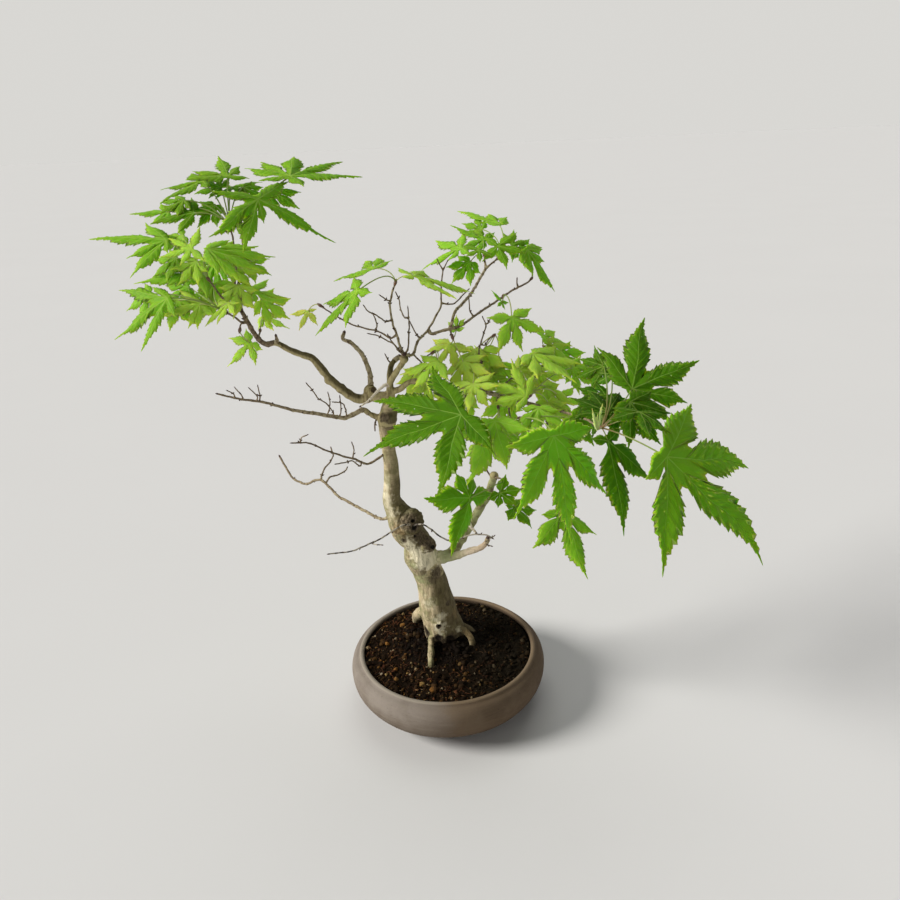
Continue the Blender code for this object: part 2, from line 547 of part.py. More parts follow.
def build_pot(group):
    lip = [(RIM_INNER_RADIUS, RIM_HEIGHT - LIP_CHAMFER), (RIM_INNER_RADIUS + LIP_CHAMFER, RIM_HEIGHT)]
    lip.append((RIM_OUTER_RADIUS - LIP_CHAMFER, RIM_HEIGHT))
    foot = [(FOOT_RADIUS - inward, height) for inward, height in FOOT_EDGE] + [(0.0, 0.0)]
    profile = [(0.0, FLOOR_TOP)] + inner_wall() + lip + outer_wall() + foot
    pot = turned("pot", profile, POT_SIDES, group)
    drills = new_collection("drills")
    for centre in hole_places(FLOOR_TOP / 2.0):
        bpy.ops.mesh.primitive_cylinder_add(vertices=HOLE_SIDES, radius=HOLE_RADIUS * MM,
                                            depth=FLOOR_TOP * MM * 2.0, location=centre * MM)
        drill = bpy.context.object
        for owner in list(drill.users_collection):
            owner.objects.unlink(drill)
        drills.objects.link(drill)
        hide_cutter(drill)
    combine(pot, drills, "DIFFERENCE")
    finish(pot, "pot_stoneware", *FINISHES["pot_stoneware"])


def net_places():
    return hole_places(FLOOR_TOP + CLEARANCE + NET_WIRE / 2.0)


def box(name, centre, size, group):
    """Box in millimetres."""
    shape = bmesh.new()
    place = Matrix.Translation(centre * MM) @ Matrix.Diagonal((*(size * MM), 1.0))
    bmesh.ops.create_cube(shape, size=1.0, matrix=place)
    mesh = bpy.data.meshes.new(name)
    shape.to_mesh(mesh)
    shape.free()
    return object_from_mesh(name, mesh, group)


def build_nets(group):
    """One square net of plastic bars over each drain hole."""
    pitch = (NET_SIDE - NET_WIRE) / (NET_BARS - 1)
    offsets = [(index - (NET_BARS - 1) / 2.0) * pitch for index in range(NET_BARS)]
    across = Vector((NET_SIDE, NET_WIRE, NET_WIRE))
    along = Vector((NET_WIRE, NET_SIDE, NET_WIRE))
    for number, centre in enumerate(net_places(), start=1):
        bars = new_collection("bars")
        for offset in offsets[1:]:
            box("bar", centre + Vector((0.0, offset, 0.0)), across, bars)
        for offset in offsets:
            box("bar", centre + Vector((offset, 0.0, 0.0)), along, bars)
        net = box("drain_net_%d" % number, centre + Vector((0.0, offsets[0], 0.0)), across, group)
        combine(net, bars, "UNION")
        net.data.materials.append(make_material("net_plastic_%d" % number, *FINISHES["net_plastic"]))


def soil_height(x, y):
    """Height of the soil's surface in millimetres: a low mound with lumps."""
    radius = math.hypot(x, y - SOIL_MOUND_BACK)
    height = SOIL_TOP + SOIL_MOUND * math.exp(-(radius / SOIL_MOUND_SPREAD) ** 2)
    for scale, layer, share in SOIL_LUMPS:
        height += noise.noise(Vector((x * scale, y * scale, layer))) * SOIL_ROUGHNESS * share
    return height


def build_soil(group, root_holes):
    """Bed of soil against the pot's inside, hollowed for the roots and the nets."""
    edge_radius = RIM_INNER_RADIUS - SOIL_EDGE_GAP
    surface = [(edge_radius * index / SOIL_RINGS, SOIL_TOP) for index in range(SOIL_RINGS + 1)]
    edge = [(edge_radius, SOIL_TOP - SOIL_EDGE_DEPTH)]
    wall = inner_wall(CLEARANCE)[::-1]
    soil = turned("soil", surface + edge + wall + [(0.0, FLOOR_TOP + CLEARANCE)], POT_SIDES, group)
    for vertex in soil.data.vertices:
        if vertex.co.z > (SOIL_TOP - SOIL_EDGE_DEPTH / 2.0) * MM:
            inward = edge_radius - math.hypot(vertex.co.x, vertex.co.y) / MM
            fade = max(0.0, min(1.0, inward / SOIL_EDGE_FADE))
            height = soil_height(vertex.co.x / MM, vertex.co.y / MM)
            vertex.co.z = (SOIL_TOP + (height - SOIL_TOP) * fade) * MM
    side = NET_SIDE + 2.0 * CLEARANCE
    seat = Vector((side, side, NET_WIRE + 2.0 * (NET_SEAT_DEPTH + CLEARANCE)))
    for number, centre in enumerate(net_places(), start=1):
        centre.z -= NET_SEAT_DEPTH
        hide_cutter(box("net_seat_%d" % number, centre, seat, root_holes))
    combine(soil, root_holes, "DIFFERENCE")
    finish(soil, "soil", *FINISHES["soil"])


def trunk_line():
    """Points and radii of the trunk in millimetres, from its plug in the soil upward."""
    points = [Vector(TRUNK_PLUG)]
    radii = [TRUNK_PLUG_RADIUS]
    for index, (across, down, width) in enumerate(TRUNK):
        share = index / (len(TRUNK) - 1)
        depth = TRUNK_DEPTH_LOW + (TRUNK_DEPTH_HIGH - TRUNK_DEPTH_LOW) * share
        point = spot(across, down, depth)
        points.append(point)
        radii.append(real_width(width, point) / 2.0)
    return points, radii


def nearest_on(line, point):
    """Point of a centre line whose place in the picture is nearest to a sight line."""
    best = None
    aim = (point - EYE).normalized()
    for start, end in zip(line[:-1], line[1:]):
        for step in range(SEARCH_STEPS + 1):
            place = start.lerp(end, step / SEARCH_STEPS)
            miss = (place - EYE).normalized().cross(aim).length
            if best is None or miss < best[0]:
                best = (miss, place)
    return best[1]


def limb_lines():
    """Centre line and radii of every limb, each rooted on its parent's centre line."""
    lines = {"trunk": trunk_line()}
    for name, parent, places, first, last, last_depth in LIMBS:
        root = nearest_on(lines[parent][0], spot(*places[0], 0.0))
        points = [root]
        travelled = [0.0]
        for before, after in zip(places[:-1], places[1:]):
            travelled.append(travelled[-1] + math.dist(before, after))
        reach = travelled[-1] + LIMB_START
        for (across, down), distance in zip(places, travelled):
            share = (distance + LIMB_START) / reach
            points.append(spot(across, down, root.y + (last_depth - root.y) * share))
        radii = []
        for index, point in enumerate(points):
            width = first + (last - first) * (index / (len(points) - 1)) ** LIMB_TAPER
            radii.append(real_width(width, point) / 2.0)
        lines[name] = (points, radii)
    return lines


def taper(first, last, count):
    return [first + (last - first) * index / (count - 1) for index in range(count)]


def burl(name, place, radius, gap, group):
    detail = 2 if radius > LARGE_BURL else 1
    return ball(name, spot(*place), radius + gap, group, BURL_SQUASH, detail)


def build_tree(group, lines):
    """Trunk, limbs, burls and roots, fused to one body."""
    pieces = new_collection("wood_pieces")
    tree = tube("tree_wood", *lines["trunk"], TRUNK_SIDES, group)
    for name, _, _, first, _, _ in LIMBS:
        sides = 8 if first >= THICK_LIMB else 6 if first >= MIDDLE_LIMB else 4
        tube(name, *lines[name], sides, pieces)
    for number, (place, radius) in enumerate(BURLS):
        burl("burl_%d" % number, place, radius, 0.0, pieces)
    for number, (places, first, last) in enumerate(ROOTS):
        tube("root_%d" % number, places, taper(first, last, len(places)), ROOT_SIDES, pieces)
    combine(tree, pieces, "UNION")
    finish(tree, "bark", *FINISHES["bark"])


def root_cutters(lines):
    """Plain holes for the trunk's plug, the roots and the low burls, a gap larger all round."""
    holes = new_collection("root_holes")
    points, radii = (part[:TRUNK_PLUG_RINGS] for part in lines["trunk"])
    plug = [points[0] + (points[0] - points[1]).normalized() * CLEARANCE] + points[1:]
    hide_cutter(tube("plug_hole", plug, [radius + PLUG_GAP for radius in radii], TRUNK_SIDES, holes))
    for number, (places, first, last) in enumerate(ROOTS):
        line = [Vector(place) for place in places]
        line[-1] = line[-1] + (line[-1] - line[-2]).normalized() * CLEARANCE
        radii = [radius + ROOT_GAP for radius in taper(first, last, len(line))]
        hide_cutter(tube("root_hole_%d" % number, line, radii, ROOT_SIDES, holes))
    for number, (place, radius) in enumerate(BURLS):
        if spot(*place).z < SOIL_TOP + 2.0 * radius:
            hide_cutter(burl("burl_hole_%d" % number, place, radius, BURL_GAP, holes))
    return holes


def blade_normal(lean, turn):
    """Upper side of a blade that leans from level toward the side it is turned to."""
    lean = math.radians(lean)
    turn = math.radians(turn)
    return Vector((math.sin(lean) * math.sin(turn), -math.sin(lean) * math.cos(turn), math.cos(lean)))


def on_plane(across, down, origin, normal):
    """Point where a sight line meets the plane through an origin."""
    line = sight(across, down)
    return EYE + line * ((origin - EYE).dot(normal) / line.dot(normal))


def lobe_axes(knuckle, normal, tips):
    """Rib direction and length of each lobe, in order round the upper side."""
    lobes = []
    for across, down in tips:
        flat = on_plane(across, down, knuckle, normal) - knuckle
        tip = on_plane(across, down, knuckle - normal * flat.length * DROOP, normal)
        flat = tip - knuckle
        flat -= normal * flat.dot(normal)
        lobes.append((flat.normalized(), flat.length))
    if lobes[0][0].cross(lobes[1][0]).dot(normal) < 0.0:
        lobes.reverse()
    return lobes


def build_blade(name, knuckle, lean, turn, tips, group):
    """Lobed blade with toothed edges, thick along its ribs and thin at its margin."""
    normal = blade_normal(lean, turn)
    lobes = lobe_axes(knuckle, normal, tips)
    longest = max(length for _, length in lobes)
    large = longest > LARGE_LEAF
    margin = LARGE_MARGIN if large else SMALL_MARGIN if longest > SMALL_LEAF else TINY_MARGIN
    stations = LARGE_RIB if large else SMALL_RIB
    shape = bmesh.new()

    def add(point, lift=0.0):
        return shape.verts.new((point + normal * lift) * MM)

    def place(lobe, along, aside):
        rib, length = lobe
        side = normal.cross(rib)
        drop = DROOP * along ** 2 + FOLD * abs(aside)
        return knuckle + (rib * along + side * aside - normal * drop) * length

    def both(point, half):
        return add(point, half), add(point, -half)

    def sheet(rib_vertex, second, third):
        """One triangle on each face; only rib vertices differ between the faces."""
        for face in (0, 1):
            corners = [corner[face] for corner in (rib_vertex, second, third)]
            shape.faces.new(corners if face == 0 else corners[::-1])

    def rim(point):
        vertex = add(point)
        return vertex, vertex

    hub = both(knuckle, stations[0][1])
    gaps = [lobes[index][0].angle(lobes[index + 1][0]) for index in range(len(lobes) - 1)]
    base = (lobes[0][0] + lobes[-1][0]).normalized()
    outside = base if sum(gaps) > math.pi else -base
    notches = [rim(knuckle + outside * BASE_NOTCH * longest)]
    for index, gap in enumerate(gaps):
        (rib_a, length_a), (rib_b, length_b) = lobes[index], lobes[index + 1]
        middle = (rib_a + rib_b).normalized()
        reach = SINUS * min(length_a, length_b) * min(1.0, LOBE_ANGLE / gap)
        notches.append(rim(knuckle + middle * reach - normal * DROOP * reach * SINUS))
    notches.append(notches[0])
    for index, lobe in enumerate(lobes):
        rib = [hub] + [both(place(lobe, station, 0.0), half) for station, half in stations[1:]]
        tip = rim(place(lobe, 1.0, 0.0))
        for turn_way, notch in ((-1, notches[index]), (1, notches[index + 1])):
            neighbour = index - 1 if turn_way < 0 else index
            open_side = neighbour < 0 or neighbour >= len(gaps)
            wedge = OPEN_WEDGE if open_side else gaps[neighbour] * WEDGE_SHARE
            edge = [notch]
            for along, share in margin:
                aside = min(LOBE_HALF_WIDTH * share, along * math.tan(wedge))
                edge.append(rim(place(lobe, along, turn_way * aside)))
            edge.append(tip)
            strip(sheet, rib, edge, turn_way)
    mesh = bpy.data.meshes.new(name)
    bmesh.ops.recalc_face_normals(shape, faces=shape.faces)
    shape.to_mesh(mesh)
    shape.free()
    return object_from_mesh(name, mesh, group)


def strip(sheet, rib, edge, turn_way):
    """Triangles between a rib and one toothed edge, each holding a rib vertex."""
    pairs = [(rib[0], rib[1], edge[0]), (rib[1], edge[1], edge[0])]
    if len(rib) > 2:
        pairs.append((rib[1], rib[2], edge[1]))
    for low, high in zip(edge[1:-1], edge[2:]):
        pairs.append((rib[-1], high, low))
    for corners in pairs:
        ordered = corners if turn_way > 0 else (corners[0], corners[2], corners[1])
        sheet(*ordered)


def petiole_line(root, direction, knuckle):
    """Leaf stalk that leaves the bud along the twig and bends over to the blade."""
    straight = knuckle - root
    bend = root + direction * straight.length * PETIOLE_FORWARD + straight * PETIOLE_LEAN
    bend.z += straight.length * PETIOLE_RISE
    root = root + straight.normalized() * PETIOLE_START
    knuckle = knuckle + Vector(PETIOLE_MISS)
    points = []
    for share in (0.0, 0.5, 1.0):
        points.append(root.lerp(bend, share).lerp(bend.lerp(knuckle, share), share))
    return points


def build_spray(name, twig, colour, lines, group):
    """Bud, stalks and blades of one spray, fused to one body."""
    points, radii = lines[twig]
    direction = (points[-1] - points[-2]).normalized()
    root = points[-1] + direction * (CLEARANCE + BUD_RADIUS)
    pieces = new_collection("spray_pieces")
    spray = ball("leaves_" + name, root, BUD_RADIUS, group, subdivisions=1)
    own = [leaf for leaf in LEAVES if leaf[0] == name]
    for number, (_, place, lean, turn, tips) in enumerate(own):
        knuckle = spot(*place)
        line = petiole_line(root, direction, knuckle)
        radii = taper(PETIOLE_RADIUS, PETIOLE_RADIUS * PETIOLE_TAPER, len(line))
        tube("petiole_%d" % number, line, radii, PETIOLE_SIDES, pieces)
        build_blade("blade_%d" % number, knuckle, lean, turn, tips, pieces)
    combine(spray, pieces, "UNION")
    finish(spray, "leaf_" + name, colour, LEAF_ROUGHNESS)


def main():
    remove_everything()
    bonsai = new_collection("japanese_maple_bonsai")
    lines = limb_lines()
    build_pot(bonsai)
    build_nets(bonsai)
    build_soil(bonsai, root_cutters(lines))
    build_tree(bonsai, lines)
    for name, twig, colour in SPRAYS:
        build_spray(name, twig, colour, lines, bonsai)


main()
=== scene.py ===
# Japanese maple bonsai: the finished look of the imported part
# Everything is worked out in millimetres, and goes to metres when a mesh is made
import math
import random
from types import SimpleNamespace

import bmesh
import bpy
import numpy as np
from mathutils import Matrix, Vector, noise
from mathutils.bvhtree import BVHTree
from mathutils.kdtree import KDTree


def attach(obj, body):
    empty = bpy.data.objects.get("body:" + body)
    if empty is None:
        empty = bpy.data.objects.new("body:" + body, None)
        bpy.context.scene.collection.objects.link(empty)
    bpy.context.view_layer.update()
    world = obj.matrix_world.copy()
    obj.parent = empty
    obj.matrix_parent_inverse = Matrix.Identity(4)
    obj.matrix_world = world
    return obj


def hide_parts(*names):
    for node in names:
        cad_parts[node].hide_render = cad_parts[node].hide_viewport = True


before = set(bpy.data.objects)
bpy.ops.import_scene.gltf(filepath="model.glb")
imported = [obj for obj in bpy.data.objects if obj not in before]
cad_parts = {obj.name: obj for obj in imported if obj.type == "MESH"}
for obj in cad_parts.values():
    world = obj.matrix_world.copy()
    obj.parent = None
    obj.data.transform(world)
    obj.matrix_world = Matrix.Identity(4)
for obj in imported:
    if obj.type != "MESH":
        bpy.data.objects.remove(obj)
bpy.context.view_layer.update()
print("bonsai: frame loaded with", len(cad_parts), "nodes")
mm, perMetre = 0.001, 1000.0

# The eye point. Twigs and leaves are placed by (across, down) in its picture of 900 units and a depth
eye = {"at": Vector((7.4, -408.0, 335.6)), "tilt": 22.1, "roll": -2.6, "focal": 762.0, "middle": 450.0,
       "sensor": 36.0, "side": 900.0, "near": 0.01}


def eyeAxes():
    tilt, roll = math.radians(eye["tilt"]), math.radians(eye["roll"])
    ahead = Vector((0.0, math.cos(tilt), -math.sin(tilt)))
    level = Vector((1.0, 0.0, 0.0))
    upright = level.cross(ahead)
    across = level * math.cos(roll) + upright * math.sin(roll)
    upward = upright * math.cos(roll) - level * math.sin(roll)
    return ahead, across, upward


eyeAhead, eyeRight, eyeUp = eyeAxes()


def sight(across, down):
    return (eyeAhead + eyeRight * ((across - eye["middle"]) / eye["focal"])
            - eyeUp * ((down - eye["middle"]) / eye["focal"]))


def spot(across, down, depth):
    line = sight(across, down)
    return eye["at"] + line * ((depth - eye["at"].y) / line.y)


def realWidth(width, point):
    return width * (point - eye["at"]).dot(eyeAhead) / eye["focal"]


def addObject(name, data):
    made = bpy.data.objects.new(name, data)
    bpy.context.scene.collection.objects.link(made)
    return made


def makeCamera():
    camera = addObject("camera", bpy.data.cameras.new("camera"))
    camera.data.sensor_width = eye["sensor"]
    camera.data.lens = eye["sensor"] * eye["focal"] / eye["side"]
    camera.data.clip_start = eye["near"]
    turned = Matrix((eyeRight, eyeUp, -eyeAhead)).transposed().to_4x4()
    camera.matrix_world = Matrix.Translation(eye["at"] * mm) @ turned
    bpy.context.scene.camera = camera


makeCamera()


class Wire:  # one node output that takes part in sums
    def __init__(self, finish, socket):
        self.finish = finish
        self.socket = socket

    def sum(self, operation, first, second):
        return self.finish.node("Math", {"operation": operation}, {0: first, 1: second})

    def alone(self, operation):
        return self.finish.node("Math", {"operation": operation}, {0: self})

    def __add__(self, other):
        return self.sum("ADD", self, other)

    def __radd__(self, other):
        return self.sum("ADD", other, self)

    def __sub__(self, other):
        return self.sum("SUBTRACT", self, other)

    def __rsub__(self, other):
        return self.sum("SUBTRACT", other, self)

    def __mul__(self, other):
        return self.sum("MULTIPLY", self, other)

    def __truediv__(self, other):
        return self.sum("DIVIDE", self, other)


class Finish:  # one material and the nodes that feed it
    def __init__(self, name, **fixed):
        self.material = bpy.data.materials.new(name)
        self.material.use_nodes = True
        self.tree = self.material.node_tree
        self.shader = self.tree.nodes["Principled BSDF"]
        self.colour = None
        for key, value in fixed.items():
            self.shader.inputs[key.replace("_", " ")].default_value = value

    def node(self, kind, settings=None, sockets=None, out=0):
        made = self.tree.nodes.new("ShaderNode" + kind)
        for key, value in (settings or {}).items():
            if key == "stops":
                self.setStops(made.color_ramp, value)
            else:
                setattr(made, key, value)
        for key, value in (sockets or {}).items():
            self.feed(made.inputs[key], value)
        return Wire(self, made.outputs[out])

    def setStops(self, ramp, stops):
        while len(ramp.elements) < len(stops):
            ramp.elements.new(0.5)
        for element, (at, colour) in zip(ramp.elements, stops):
            element.position = at
            element.color = (*colour, 1.0)

    def feed(self, socket, value):
        if isinstance(value, Wire):
            self.tree.links.new(value.socket, socket)
        elif isinstance(value, tuple) and len(value) == 3 and socket.type == "RGBA":
            socket.default_value = (*value, 1.0)
        else:
            socket.default_value = value

    def place(self, stretch=(1.0, 1.0, 1.0)):  # the mesh's own place, in millimetres
        raw = self.node("TexCoord", out="Object")
        size = tuple(perMetre * part for part in stretch)
        return self.node("VectorMath", {"operation": "MULTIPLY"}, {0: raw, 1: size})

    def axis(self, place, index):
        return self.node("SeparateXYZ", {}, {0: place}, index)

    def layers(self, *names):  # values that the mesh carries at its vertices
        return [self.node("Attribute", {"attribute_name": name}, {}, "Fac") for name in names]

    def noise(self, place, scale, detail, rough=0.55):
        sockets = {"Vector": place, "Scale": scale, "Detail": detail, "Roughness": rough}
        return self.node("TexNoise", {}, sockets)

    def cells(self, place, scale, feature="F1"):
        return self.node("TexVoronoi", {"feature": feature}, {"Vector": place, "Scale": scale})

    def step(self, value, low, high):
        return self.node("MapRange", {"interpolation_type": "SMOOTHSTEP"}, {0: value, 1: low, 2: high})

    def patches(self, place, scale, detail, low, high, rough=0.55):  # noise, kept between low and high
        return self.step(self.noise(place, scale, detail, rough), low, high)

    def mix(self, way, factor, first, second):  # 6, 7 and output 2 are the Mix node's colour sockets
        return self.node("Mix", {"data_type": "RGBA", "blend_type": way}, {0: factor, 6: first, 7: second}, 2)

    def blend(self, factor, first, second):
        return self.mix("MIX", factor, first, second)

    def coat(self, factor, colour):  # more colour over what the finish has so far
        self.colour = self.blend(factor, self.colour, colour)

    def tint(self, colour, tone):
        return self.mix("MULTIPLY", 1.0, colour, tone)

    def ramp(self, factor, *stops):
        return self.node("ValToRGB", {"stops": stops}, {0: factor})

    def bump(self, height, distance, strength):
        normal = self.node("Bump", {}, {"Height": height, "Distance": distance * mm, "Strength": strength})
        self.feed(self.shader.inputs["Normal"], normal)

    def show(self, roughness=None):
        self.feed(self.shader.inputs["Base Color"], self.colour)
        if roughness is not None:
            self.feed(self.shader.inputs["Roughness"], roughness)


def makePiece(name, points, faces, finishes, layers=None, slots=None):
    mesh = bpy.data.meshes.new(name)
    mesh.from_pydata((np.asarray(points) * mm).tolist(), [], faces)
    for key, values in (layers or {}).items():
        mesh.attributes.new(key, "FLOAT", "POINT").data.foreach_set("value", np.asarray(values, float))
    for finish in finishes:
        mesh.materials.append(finish.material)
    if slots is not None:
        mesh.polygons.foreach_set("material_index", np.asarray(slots, np.int32))
    mesh.shade_smooth()
    return addObject(name, mesh)


def applied(piece):  # the mesh as the modifiers leave it
    bpy.context.view_layer.update()
    return bpy.data.meshes.new_from_object(piece.evaluated_get(bpy.context.evaluated_depsgraph_get()))


def settle(piece, slot, *nodes):
    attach(piece, "root")
    if nodes:
        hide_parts(*nodes)


class Batch:  # points, faces and carried values of many small shapes that make one mesh
    def __init__(self):
        self.points, self.faces, self.slots, self.layers, self.count = [], [], [], {}, 0

    def add(self, points, faces, slots=0, **layers):
        points = np.asarray(points, float)
        self.faces.extend([[index + self.count for index in face] for face in faces])
        self.slots.extend(np.broadcast_to(slots, (len(faces),)))
        for key in set(self.layers) | set(layers):
            held = self.layers.setdefault(key, [np.zeros(self.count)] if self.count else [])
            held.append(np.broadcast_to(np.asarray(layers.get(key, 0.0), float), (len(points),)))
        self.points.append(points)
        self.count += len(points)

    def piece(self, name, finishes):
        layers = {key: np.concatenate(held) for key, held in self.layers.items()}
        return makePiece(name, np.concatenate(self.points), self.faces, finishes, layers, self.slots)


def pointTree(points):
    tree = KDTree(len(points))
    for index, point in enumerate(points):
        tree.insert(point, index)
    tree.balance()
    return tree


def smoothLine(points, radii, step):
    points, radii = np.array([tuple(point) for point in points]), np.array(radii, float)
    padded = np.vstack([2 * points[0] - points[1], points, 2 * points[-1] - points[-2]])
    line, widths = [], []
    for index in range(len(points) - 1):
        a, b, c, d = padded[index:index + 4]
        count = max(1, math.ceil(np.linalg.norm(c - b) / step))
        for part in range(count):
            t = part / count
            line.append(0.5 * (2 * b + (c - a) * t + (2 * a - 5 * b + 4 * c - d) * t ** 2
                               + (3 * b - a - 3 * c + d) * t ** 3))
            widths.append(radii[index] + (radii[index + 1] - radii[index]) * t)
    return np.array(line + [points[-1]]), np.array(widths + [radii[-1]])


def ringWays(sides, turn=0.0):
    angles = [2.0 * math.pi * (part + turn) / sides for part in range(sides)]
    return [(math.cos(angle), math.sin(angle)) for angle in angles]


def ringFaces(rings, flip=False):  # faces between each ring of points and the next; a pole is one point
    faces = []
    for lower, upper in zip(rings[:-1], rings[1:]):
        for part in range(len(lower)):
            after = (part + 1) % len(lower)
            face = [lower[part], lower[after], upper[after], upper[part]]
            face = [face[0]] + face[:0:-1] if flip else face
            faces.append([index for place, index in enumerate(face) if index != face[place - 1]])
    return faces


def sweepTube(line, radii, sides):
    line = np.asarray(line, float)
    ways = np.gradient(line, axis=0)
    ways /= np.linalg.norm(ways, axis=1)[:, None] + 1e-12
    side = np.cross(ways[0], (0.3, 0.2, 0.93))
    angles = np.arange(sides)[:, None] * 2.0 * math.pi / sides
    points = []
    for centre, way, radius in zip(line, ways, radii):
        side = side - way * side.dot(way)
        side /= np.linalg.norm(side)
        points.append(centre + radius * (np.cos(angles) * side + np.sin(angles) * np.cross(way, side)))
    rings = np.arange(len(line) * sides).reshape(-1, sides).tolist()
    return np.vstack(points), ringFaces(rings) + [rings[0][::-1], rings[-1]]


def budShape(at, way, length, radius, sides=7):
    profile = ((-0.25, 0.55), (0.0, 0.85), (0.28, 1.0), (0.55, 0.82), (0.8, 0.42), (1.0, 0.06))
    at, way = np.array(at, float), np.array(way, float)
    way = way / np.linalg.norm(way)
    line = [at + way * length * along for along, _ in profile]
    return sweepTube(line, [radius * wide for _, wide in profile], sides)


# Trunk: across, down and width in the picture, from the soil upward
trunkPoints = [
    (448, 640, 38), (444.5, 628, 40), (440, 616, 37), (437, 604, 36), (434, 590, 32), (431, 578, 30),
    (426, 567, 29), (421, 556, 34), (417.5, 542, 28), (408, 531, 30), (402.5, 520, 31), (396.5, 509, 23),
    (392, 499, 18), (392, 482, 16.5), (391, 465, 15), (389, 450, 14), (387, 436, 14.5), (387, 422, 18),
    (389, 410, 17), (390, 400, 12), (390, 392, 9),
]
